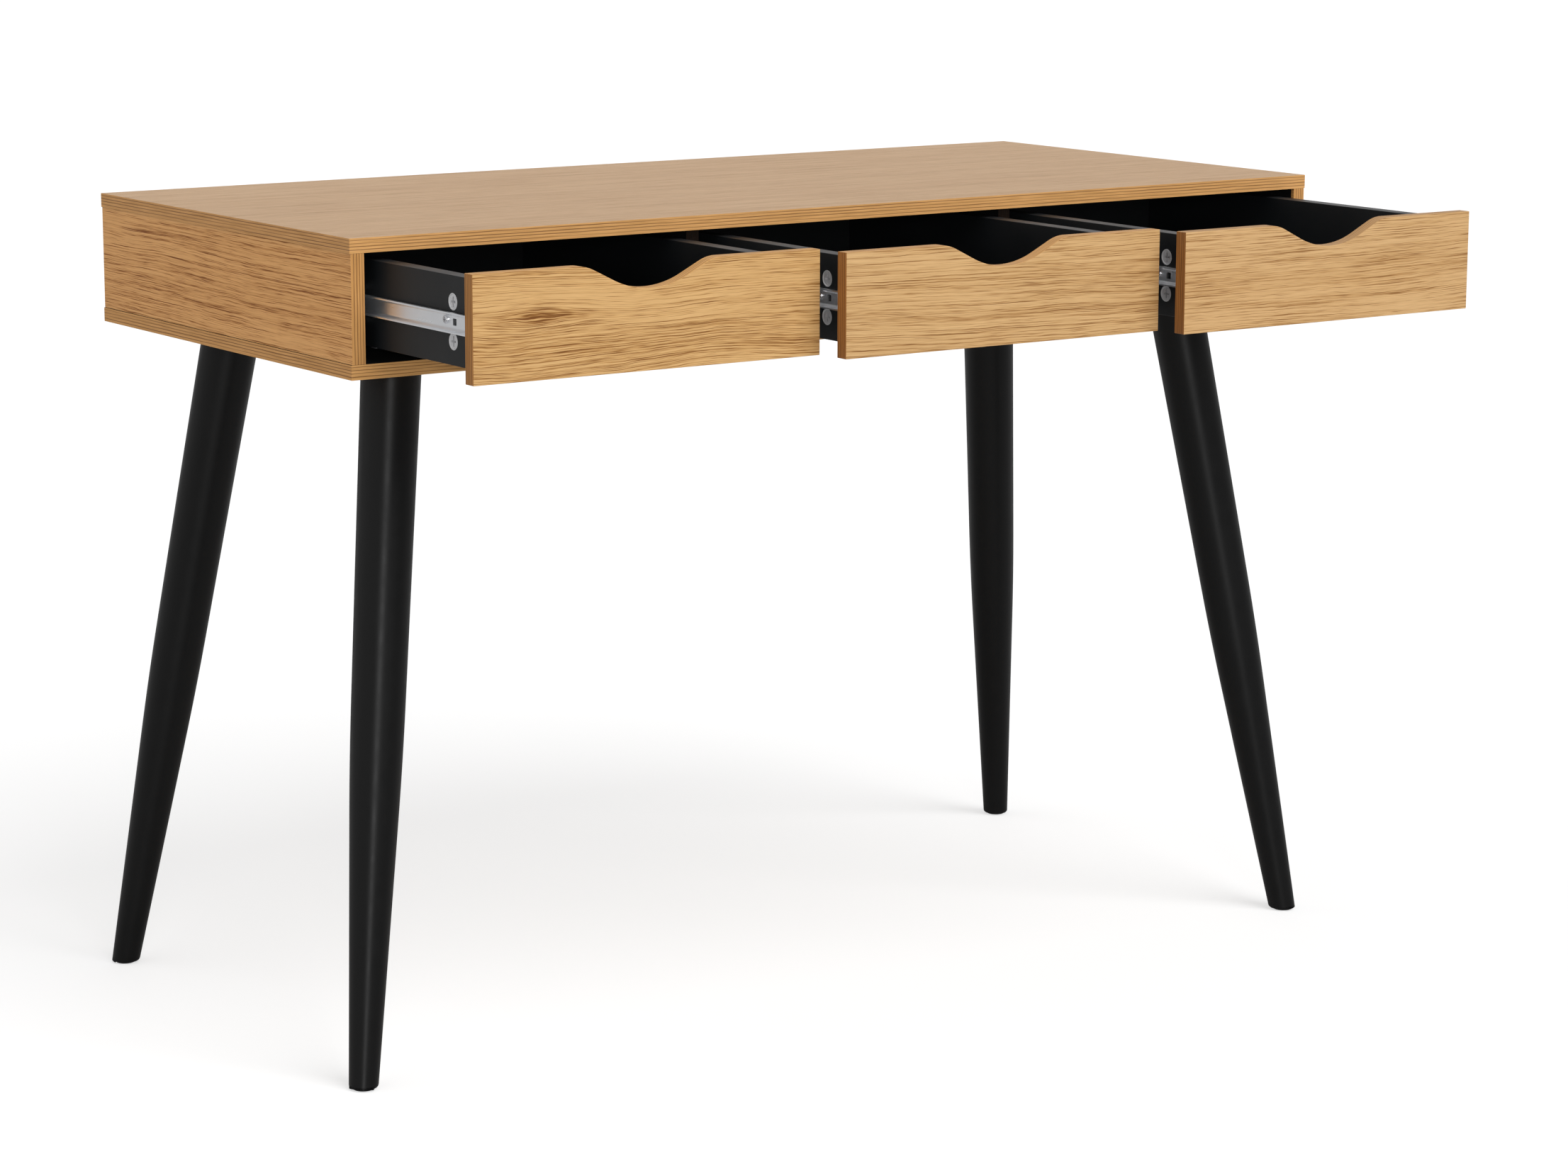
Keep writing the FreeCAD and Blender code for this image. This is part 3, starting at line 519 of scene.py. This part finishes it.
# The side panels have pockets on the inside for the cams that pull them to the two boards. The
# painted near-black shade stops just short of the front edge inside the right one.
bare_strip = 0.0035
panel_tint = (0.99, 0.865, 0.755, 1)
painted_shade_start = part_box("side_panel_right")[0].y + bare_strip
fitting_low, fitting_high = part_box("case_cam_fittings")
for name, seed, side, painted_shade_from in (("left", 7.7, 1, None), ("right", 2.9, -1, painted_shade_start)):
    node = "side_panel_" + name
    low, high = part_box(node)
    inner = high.x if side > 0 else low.x
    panel = sawn_board(node, board_easing)
    for y in (fitting_low.y + pocket_radius, fitting_high.y - pocket_radius):
        for z in (low.z + pocket_from_edge, high.z - pocket_from_edge):
            cut_away(panel, round_bar(64, pocket_radius, 2 * pocket_depth, (inner, y, z)))
    oak = oak_board("oak_" + name, node, 1, 0, seed, 0.7, 1.4, tint=panel_tint, painted_shade_side=side,
                    painted_shade_from=painted_shade_from)
    settle_piece(panel, "oak_" + node, oak, "oak_plywood", "case", node)
# The dividers' oak front edges are darkened almost to black: painted shade, as they sit back in the dark
# behind the fronts.
divider_edge_painted_shade = (0.03, 0.025, 0.02, 1)
for side, seed in (("left", 5.5), ("right", 6.4)):
    finish_node("divider_" + side, oak_board(
        "oak_divider_" + side, "divider_" + side, 1, 0, seed, edge_tint=divider_edge_painted_shade, painted_shade_side=2))
# The back panel's inside face is coloured near-black as painted shade.
finish_node("back_panel", oak_board("oak_back", "back_panel", 0, 1, 9.2, 0.7, 0.8, painted_shade_side=-1))


# ---------------------------------------------------------------- the drawer fronts
# Each front is sawn from oak plywood, its grain running across, and cam bolts hold it to its
# box. A finger scoop is cut into the top edge: a wide round bowl between softer shoulders.
scoop_depth = 0.0225
bowl_radius = 0.085
shoulder_radius = 0.037
flank_angle = math.radians(26.4)
ply_thickness = 0.0135
eased_edge = 0.0005
column_width = 0.002
# Points closer than a hair count as being in one place.
hair = 1e-5


def scoop_dip(offset):
    """How far the top edge lies below its straight part, at a distance from the scoop's middle."""
    offset = abs(offset)
    rounded = (bowl_radius + shoulder_radius) * (1 - math.cos(flank_angle))
    flank = (scoop_depth - rounded) / math.sin(flank_angle)
    bowl_end = bowl_radius * math.sin(flank_angle)
    flank_end = bowl_end + flank * math.cos(flank_angle)
    scoop_end = flank_end + shoulder_radius * math.sin(flank_angle)
    if offset >= scoop_end:
        return 0.0
    if offset <= bowl_end:
        return scoop_depth - bowl_radius + math.sqrt(bowl_radius ** 2 - offset ** 2)
    if offset >= flank_end:
        return shoulder_radius - math.sqrt(shoulder_radius ** 2 - (scoop_end - offset) ** 2)
    bowl_rise = bowl_radius * (1 - math.cos(flank_angle))
    return scoop_depth - bowl_rise - (offset - bowl_end) * math.tan(flank_angle)


# The fronts' ends and cut edges are darker on each front to the right: partly end grain, partly painted
# shade in the gaps between the fronts and under the top.
for number, seed, figure, pores, knot, tint, end_tone, edge_tint in (
        (1, 21.6, 1.3, 1.4, (-0.47, 0.715), (0.89, 0.92, 0.97, 1), 0.25, (0.96, 0.96, 0.90, 1)),
        (2, 33.4, 0.9, 1.08, no_knot, (0.86, 0.91, 1.04, 1), 0.1, (0.90, 0.90, 0.92, 1)),
        (3, 48.9, 0.7, 1.08, no_knot, (0.86, 0.91, 1.06, 1), 0.0, (0.76, 0.81, 0.97, 1))):
    node = "drawer_%d_front" % number
    low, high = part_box(node)
    middle = (low + high) / 2
    width = high.x - low.x
    height = high.z - low.z
    start_piece()
    bpy.ops.mesh.primitive_grid_add(
        x_subdivisions=round(width / column_width), y_subdivisions=4, size=1)
    front = bpy.context.object
    front.scale = (width, height, 1)
    front.rotation_euler = (math.pi / 2, 0, 0)
    front.location = (middle.x, low.y, middle.z)
    apply_place()
    columns = sorted({round(vertex.co.x, 6) for vertex in front.data.vertices})
    for column in columns:
        dip = scoop_dip(column - middle.x)
        if dip > 0:
            select_vertices(front, lambda co: abs(co.x - column) < hair and co.z > high.z - hair)
            bpy.ops.transform.translate(value=(0, 0, -dip))
    bpy.ops.object.mode_set(mode="EDIT")
    bpy.ops.mesh.select_all(action="SELECT")
    bpy.ops.mesh.extrude_region_move(TRANSFORM_OT_translate={"value": (0, ply_thickness, 0)})
    bpy.ops.mesh.select_all(action="SELECT")
    bpy.ops.mesh.normals_make_consistent(inside=False)
    bpy.ops.mesh.select_all(action="DESELECT")
    bpy.ops.mesh.select_mode(type="EDGE")
    bpy.ops.mesh.edges_select_sharp(sharpness=math.radians(60))
    bpy.ops.mesh.bevel(offset=eased_edge, segments=2, affect="EDGES")
    name = "oak_front_%d" % number
    oak = oak_board(name, node, 0, 1, seed, figure, pores, knot, tint, edge_tint, end_tone)
    settle_piece(front, name, oak, "oak_plywood", "drawer_%d" % number, node)


# ---------------------------------------------------------------- the drawer boxes
# Two sides, a back and a thin bottom of black melamine-faced board. The faces are satin with
# a very fine leather-like tooth. Whatever faces up is greyer: partly the tape on the top
# edges, partly painted light from above on every upward face.
def object_noise(tree, scale, detail=2.0, squeeze=None):
    """Noise on the piece's own coordinates, drawn closer along each axis by squeeze."""
    spot = add_node(tree, "ShaderNodeTexCoord").outputs["Object"]
    if squeeze:
        spot = add_node(tree, "ShaderNodeMapping", {"Vector": spot, "Scale": squeeze}).outputs[0]
    noise = add_node(tree, "ShaderNodeTexNoise", {"Vector": spot, "Scale": scale, "Detail": detail})
    return noise.outputs["Fac"]


def noisy_value(tree, noise, low, high):
    """Spread the middle of a noise over a range; returns the output socket."""
    return ramp(tree, noise, 0.3, 0.7, low, high)


def bumped(tree, noise, strength):
    """The normal of a finely uneven surface."""
    bump = add_node(tree, "ShaderNodeBump", {"Strength": strength, "Distance": 0.0002, "Height": noise})
    return bump.outputs[0]


melamine_dark = (0.008, 0.0095, 0.011, 1)
melamine_light = (0.012, 0.0135, 0.015, 1)
tape_and_top_light = (0.020, 0.020, 0.021, 1)
black_melamine, tree, surface = new_material("black_melamine")
where = add_node(tree, "ShaderNodeTexCoord")
facing = add_node(tree, "ShaderNodeSeparateXYZ", {0: where.outputs["Normal"]})
tooth = object_noise(tree, 900.0, detail=3.0)
haze = object_noise(tree, 14.0)
# Every face turned up gets the greyer colour: the top edges' tape, and painted light from above.
tape_and_top_light_mask = ramp(tree, facing.outputs[2], 0.6, 0.8)
shade = mix_colours(tree, haze, melamine_dark, melamine_light)
finish_surface(tree, surface, {
    "Base Color": mix_colours(tree, tape_and_top_light_mask, shade, tape_and_top_light),
    "Roughness": noisy_value(tree, haze, 0.40, 0.50),
    "Normal": bumped(tree, tooth, 0.15), "Specular IOR Level": 0.28})
drawer_numbers = (1, 2, 3)
for number in drawer_numbers:
    for part in ("side_left", "side_right", "back", "bottom"):
        finish_node("drawer_%d_%s" % (number, part), black_melamine)


# ---------------------------------------------------------------- the legs
# Four turned beech legs in satin black lacquer, bolted under the case and splayed outwards
# both ways. The upper half is almost parallel, and a long soft knee leads into the taper to a
# small rounded foot.
top_radius = 0.0276
knee_radius = 0.02425
foot_radius = 0.0134
knee_from_top = 0.359
knee_reach = 0.052
foot_round = 0.003
leg_spare = 0.015
insert_reach = 0.0185
insert_radius = 0.0045
glide_radius = 0.009
leg_sides = 96
knee_rings = 10
ring_above_knee = 0.15
ring_below_knee = 0.5

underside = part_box("bottom_board")[0].z
glide_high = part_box("foot_glides")[1]
insert_low, insert_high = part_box("leg_inserts")
case_y = (insert_low.y + insert_high.y) / 2
leg_top_x = insert_high.x - insert_reach
leg_top_y = insert_high.y - insert_radius - case_y
leg_foot_x = glide_high.x - glide_radius
leg_foot_y = glide_high.y - glide_radius - case_y

lacquer_dark = (0.0011, 0.0011, 0.0012, 1)
lacquer_light = (0.0019, 0.0019, 0.0020, 1)
black_lacquer, tree, surface = new_material("black_lacquer")
pull = object_noise(tree, 60.0, detail=3.0)
ripple = object_noise(tree, 700.0)
finish_surface(tree, surface, {
    "Base Color": mix_colours(tree, pull, lacquer_dark, lacquer_light),
    "Roughness": noisy_value(tree, pull, 0.36, 0.42),
    "Normal": bumped(tree, ripple, 0.08), "Specular IOR Level": 0.25})


def leg_radius(distance, run):
    """The turned leg's radius at a distance down its axis, with the knee eased over its reach."""
    upper = (knee_radius - top_radius) / knee_from_top
    lower = (foot_radius - knee_radius) / (run - knee_from_top)
    past = distance - knee_from_top
    if past <= -knee_reach:
        return knee_radius + past * upper
    if past >= knee_reach:
        return knee_radius + past * lower
    blend = (past + knee_reach) / (2 * knee_reach)
    start = knee_radius - knee_reach * upper
    return start + 2 * knee_reach * (upper * blend + (lower - upper) * blend ** 2 / 2)


for end_name, end in (("front", -1), ("back", 1)):
    for side_name, side in (("left", -1), ("right", 1)):
        top = Vector((side * leg_top_x, case_y + end * leg_top_y, underside))
        foot = Vector((side * leg_foot_x, case_y + end * leg_foot_y, 0))
        run = (foot - top).length
        rings = [-leg_spare, 0.0, ring_above_knee]
        for step in range(knee_rings + 1):
            rings.append(knee_from_top + knee_reach * (2 * step / knee_rings - 1))
        rings += [ring_below_knee, run, run + leg_spare]
        start_piece()
        bpy.ops.mesh.primitive_circle_add(
            vertices=leg_sides, radius=leg_radius(rings[0], run), fill_type="NGON",
            location=(0, 0, rings[0]))
        leg = bpy.context.object
        apply_place()
        bpy.ops.object.mode_set(mode="EDIT")
        bpy.ops.mesh.select_all(action="SELECT")
        for before, after in zip(rings, rings[1:]):
            bpy.ops.mesh.extrude_region_move(TRANSFORM_OT_translate={"value": (0, 0, after - before)})
            share = leg_radius(after, run) / leg_radius(before, run)
            bpy.ops.transform.resize(value=(share, share, 1), center_override=(0, 0, after))
        bpy.ops.mesh.select_all(action="SELECT")
        bpy.ops.mesh.normals_make_consistent(inside=False)
        bpy.ops.object.mode_set(mode="OBJECT")
        leg.rotation_mode = "QUATERNION"
        leg.rotation_quaternion = (foot - top).to_track_quat("Z", "Y")
        leg.location = top
        apply_place()
        bpy.ops.object.mode_set(mode="EDIT")
        bpy.ops.mesh.select_all(action="SELECT")
        bpy.ops.mesh.bisect(
            plane_co=(0, 0, underside), plane_no=(0, 0, 1), use_fill=True, clear_outer=True)
        bpy.ops.mesh.select_all(action="SELECT")
        bpy.ops.mesh.bisect(
            plane_co=(0, 0, glide_high.z), plane_no=(0, 0, -1), use_fill=True, clear_outer=True)
        select_vertices(leg, lambda co: co.z < glide_high.z + hair)
        bpy.ops.mesh.select_mode(type="EDGE")
        bpy.ops.mesh.region_to_loop()
        bpy.ops.mesh.bevel(offset=foot_round, segments=5, affect="EDGES")
        name = "%s_%s" % (end_name, side_name)
        settle_piece(leg, "turned_leg_" + name, black_lacquer, "black_lacquer", "case", "leg_" + name)


# ---------------------------------------------------------------- the runners
# Ball-bearing runners rolled from steel strip and bright zinc plated. The wide channels screw
# to the case and the narrow ones, which have a latch hole near the front, to the drawers. The
# balls run between the two in a pressed cage.
zinc_dark = (0.88, 0.90, 0.93, 1)
zinc_light = (0.96, 0.97, 0.99, 1)
zinc_plate, tree, surface = new_material("zinc_plate")
rolled = object_noise(tree, 1.0, detail=3.0, squeeze=(500, 12, 500))
finish_surface(tree, surface, {
    "Base Color": mix_colours(tree, object_noise(tree, 70.0), zinc_dark, zinc_light),
    "Metallic": 0.92, "Roughness": noisy_value(tree, rolled, 0.27, 0.33)})

sheet_gauge = 0.0012
outer_web_half = 0.016
outer_bends = ((0.0121, 0), (0, -0.0026))
outer_fold = 0.0012
outer_setback = 0.003
inner_web_half = 0.0059
inner_bends = ((0.0032, 0.0029), (0.0038, 0))
inner_fold = 0.0011
latch_size = 0.006
latch_rounding = 0.0008
latch_from_end = 0.034
latch_lift = 0.0002


def folded_channel(node, way, web_half, bends, fold, flange_setback):
    """A channel folded from sheet, its web on the CAD runner's flat face.

    way is the side of X that the flanges point to, and bends are the steps, out from the web
    and up, that lead from the web's edge to the lip. The flanges are cut back at the front."""
    low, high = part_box(node)
    face = low.x if way > 0 else high.x
    level = (low.z + high.z) / 2
    start_piece()
    bpy.ops.mesh.primitive_plane_add(size=1)
    strip = bpy.context.object
    strip.scale = (2 * web_half, high.y - low.y, 1)
    strip.rotation_euler = (0, -way * math.pi / 2, 0)
    strip.location = (face, (low.y + high.y) / 2, level)
    apply_place()
    for sign in (1, -1):
        edge_x = face
        edge_z = level + sign * web_half
        for out, up in bends:
            select_vertices(strip, lambda co: abs(co.x - edge_x) < hair and abs(co.z - edge_z) < hair)
            step = (way * out, 0, sign * up)
            bpy.ops.mesh.extrude_edges_move(TRANSFORM_OT_translate={"value": step})
            edge_x += way * out
            edge_z += sign * up
    bpy.ops.mesh.select_all(action="DESELECT")
    bpy.ops.mesh.select_mode(type="EDGE")
    bpy.ops.mesh.edges_select_sharp(sharpness=math.radians(20))
    bpy.ops.mesh.bevel(offset=fold, segments=5, affect="EDGES")
    select_vertices(strip, lambda co: co.y < low.y + hair and abs(co.x - face) > 2 * fold)
    bpy.ops.transform.translate(value=(0, flange_setback, 0))
    bpy.ops.object.mode_set(mode="OBJECT")
    apply_modifier(strip, "SOLIDIFY", thickness=sheet_gauge, offset=-1, use_even_offset=True)
    return strip


for number in drawer_numbers:
    for side, sign in (("left", -1), ("right", 1)):
        fixed = "drawer_%d_outer_runner_%s" % (number, side)
        channel = folded_channel(fixed, -sign, outer_web_half, outer_bends, outer_fold, outer_setback)
        settle_piece(channel, "zinc_%s" % fixed, zinc_plate, "zinc_steel", "case", fixed)

        moving = "drawer_%d_inner_runner_%s" % (number, side)
        channel = folded_channel(moving, sign, inner_web_half, inner_bends, inner_fold, 0.0)
        low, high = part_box(moving)
        start_piece()
        bpy.ops.mesh.primitive_cube_add(
            size=latch_size,
            location=((low.x + high.x) / 2, low.y + latch_from_end, (low.z + high.z) / 2 + latch_lift))
        punch = bpy.context.object
        punch.scale = (3, 1, 1)
        apply_place()
        select_vertices(punch, lambda co: True)
        bpy.ops.mesh.bevel(offset=latch_rounding, segments=4, affect="EDGES")
        bpy.ops.object.mode_set(mode="OBJECT")
        cut_away(channel, punch)
        settle_piece(channel, "zinc_%s" % moving, zinc_plate, "zinc_steel", "drawer_%d" % number, moving)
    finish_node("drawer_%d_ball_cages" % number, zinc_plate)


# ---------------------------------------------------------------- the drawers' cams and screws
# Die-cast zinc cam discs, let flush into the drawer sides above and below each runner, pull
# the bolts that hold the front. Pan-head screws hold the runners to the drawer sides.
cast_dark = (0.60, 0.60, 0.61, 1)
cast_light = (0.74, 0.74, 0.75, 1)
cast_zinc, tree, surface = new_material("cast_zinc")
cloud = object_noise(tree, 260.0, detail=3.0)
finish_surface(tree, surface, {
    "Base Color": mix_colours(tree, cloud, cast_dark, cast_light), "Metallic": 0.5,
    "Roughness": noisy_value(tree, cloud, 0.42, 0.55), "Normal": bumped(tree, cloud, 0.2)})

bright_steel, tree, surface = new_material("bright_steel")
finish_surface(tree, surface, {
    "Base Color": (0.66, 0.66, 0.68, 1), "Metallic": 1.0,
    "Roughness": noisy_value(tree, object_noise(tree, 500.0), 0.18, 0.28)})

# A cross is the lengths of a recess's two bars, their width and its depth.
cam_radius = 0.0075
cam_depth = 0.011
cam_setback = 0.039
cam_spread = 0.017
cam_rim = 0.0009
cam_step_width = 0.0005
cam_step_depth = 0.00045
cam_rounding = 0.0003
cam_cross = (0.0096, 0.0078, 0.0020, 0.004)
bolt_radius = 0.0025
bolt_gap = 0.004
bolt_past = 0.009
side_middle = 0.0075
screw_lift = 0.0012
screw_head_radius = 0.0037
screw_head_height = 0.002
screw_rounding = 0.0012
screw_cross = (0.0042, 0.0042, 0.0010, 0.0015)
screw_radius = 0.00175
screw_length = 0.011
screw_end_dent = 0.0002
screw_end_share = 0.3
screw_reaches = (0.048, 0.224, 0.400)


def cross_punch(x, upright, level, arm, deep):
    """The two bars of a tapering cross-shaped punch, driven in along X from the face at x.

    upright and level are the bars' lengths, arm is their width and deep is how far they go in."""
    proud = 0.0005
    side_taper = 0.7
    end_taper = 0.75
    arms = []
    for long_way, size in ((2, upright), (1, level)):
        start_piece()
        bpy.ops.mesh.primitive_cube_add(size=1, location=(x + deep / 2 - proud / 2, 0, 0))
        bar = bpy.context.object
        scale = [deep + proud, arm, arm]
        scale[long_way] = size
        bar.scale = scale
        apply_place()
        select_vertices(bar, lambda co: co.x > x)
        shrink = [1, side_taper, side_taper]
        shrink[long_way] = end_taper
        bpy.ops.transform.resize(value=shrink, center_override=(x + deep, 0, 0))
        bpy.ops.object.mode_set(mode="OBJECT")
        arms.append(bar)
    return arms


def copy_to(original, place, half_turn):
    """A copy of a piece made at the origin; a half turn about Y makes its face look to +X."""
    start_piece()
    original.select_set(True)
    bpy.context.view_layer.objects.active = original
    bpy.ops.object.duplicate()
    copy = bpy.context.object
    copy.rotation_euler = (0, math.pi if half_turn else 0, 0)
    copy.location = place
    apply_place()
    return copy


def join_pieces(pieces):
    """Join pieces into one object and return it."""
    start_piece()
    for piece in pieces:
        piece.select_set(True)
    bpy.context.view_layer.objects.active = pieces[0]
    bpy.ops.object.join()
    return bpy.context.object


disc = round_bar(72, cam_radius, cam_depth, (cam_depth / 2, 0, 0))
select_vertices(disc, lambda co: co.x < hair)
bpy.ops.mesh.select_mode(type="FACE")
bpy.ops.mesh.inset(thickness=cam_rim, depth=0)
bpy.ops.mesh.inset(thickness=cam_step_width, depth=-cam_step_depth)
select_vertices(disc, lambda co: co.x < hair and math.hypot(co.y, co.z) > cam_radius - hair)
bpy.ops.mesh.select_mode(type="EDGE")
bpy.ops.mesh.bevel(offset=cam_rounding, segments=2, affect="EDGES")
bpy.ops.object.mode_set(mode="OBJECT")
for bar in cross_punch(0, *cam_cross):
    cut_away(disc, bar)
bolt_length = cam_setback - bolt_gap + bolt_past
bolt_middle = (side_middle, -bolt_gap - bolt_length / 2, 0)
bolt = round_bar(32, bolt_radius, bolt_length, bolt_middle, turn=(math.pi / 2, 0, 0))
cam_and_bolt = join_pieces([disc, bolt])

head = round_bar(48, screw_head_radius, screw_head_height, (-screw_head_height / 2, 0, 0))
select_vertices(head, lambda co: co.x < -hair)
bpy.ops.mesh.select_mode(type="EDGE")
bpy.ops.mesh.region_to_loop()
bpy.ops.mesh.bevel(offset=screw_rounding, segments=6, affect="EDGES")
bpy.ops.object.mode_set(mode="OBJECT")
for bar in cross_punch(-screw_head_height, *screw_cross):
    cut_away(head, bar)
shank = round_bar(24, screw_radius, screw_length, (screw_length / 2, 0, 0))
select_vertices(shank, lambda co: co.x > screw_length - hair)
bpy.ops.mesh.select_mode(type="FACE")
bpy.ops.mesh.extrude_region_move(TRANSFORM_OT_translate={"value": (-screw_end_dent, 0, 0)})
bpy.ops.transform.resize(value=(1, screw_end_share, screw_end_share))
bpy.ops.object.mode_set(mode="OBJECT")
pan_screw = join_pieces([head, shank])

for number in drawer_numbers:
    body = "drawer_%d" % number
    cams = "drawer_%d_cam_fittings" % number
    screws = "drawer_%d_inner_runner_screws" % number
    cam_low, cam_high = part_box(cams)
    level = (cam_low.z + cam_high.z) / 2
    front_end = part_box("drawer_%d_inner_runner_left" % number)[0].y
    discs = []
    heads = []
    for face, turned in ((cam_low.x, False), (cam_high.x, True)):
        for rise in (cam_spread, -cam_spread):
            discs.append(copy_to(cam_and_bolt, (face, front_end + cam_setback, level + rise), turned))
        web = face + (sheet_gauge if turned else -sheet_gauge)
        for reach in screw_reaches:
            heads.append(copy_to(pan_screw, (web, front_end + reach, level + screw_lift), turned))
    settle_piece(join_pieces(discs), "cam_discs_%d" % number, cast_zinc, "zinc_steel", body, cams)
    settle_piece(join_pieces(heads), "pan_screws_%d" % number, bright_steel, "zinc_steel", body, screws)
    finish_node("drawer_%d_back_screws" % number, zinc_plate)
start_piece()
cam_and_bolt.select_set(True)
pan_screw.select_set(True)
bpy.ops.object.delete()


# ---------------------------------------------------------------- hidden fittings
# Inside the joints: beech dowels, zinc cams and bolts between the case's boards, screws through
# the back and the fixed runners, brass inserts in the legs, and black nylon glides underfoot.
beech_dark = (0.55, 0.34, 0.17, 1)
beech_light = (0.72, 0.49, 0.28, 1)
beech, tree, surface = new_material("beech")
fibre = object_noise(tree, 1.0, squeeze=(900, 900, 40))
finish_surface(tree, surface, {
    "Base Color": mix_colours(tree, fibre, beech_dark, beech_light), "Roughness": 0.6})

brass, tree, surface = new_material("brass")
finish_surface(tree, surface, {
    "Base Color": (0.80, 0.55, 0.22, 1), "Metallic": 1.0,
    "Roughness": noisy_value(tree, object_noise(tree, 400.0), 0.25, 0.40)})

black_nylon, tree, surface = new_material("black_nylon")
finish_surface(tree, surface, {
    "Base Color": (0.010, 0.010, 0.011, 1),
    "Roughness": noisy_value(tree, object_noise(tree, 300.0), 0.50, 0.62)})

for node in ("outer_runner_screws", "back_panel_screws", "leg_bolts"):
    finish_node(node, zinc_plate)
finish_node("case_cam_fittings", cast_zinc)
finish_node("case_dowels", beech)
finish_node("leg_inserts", brass)
finish_node("foot_glides", black_nylon)
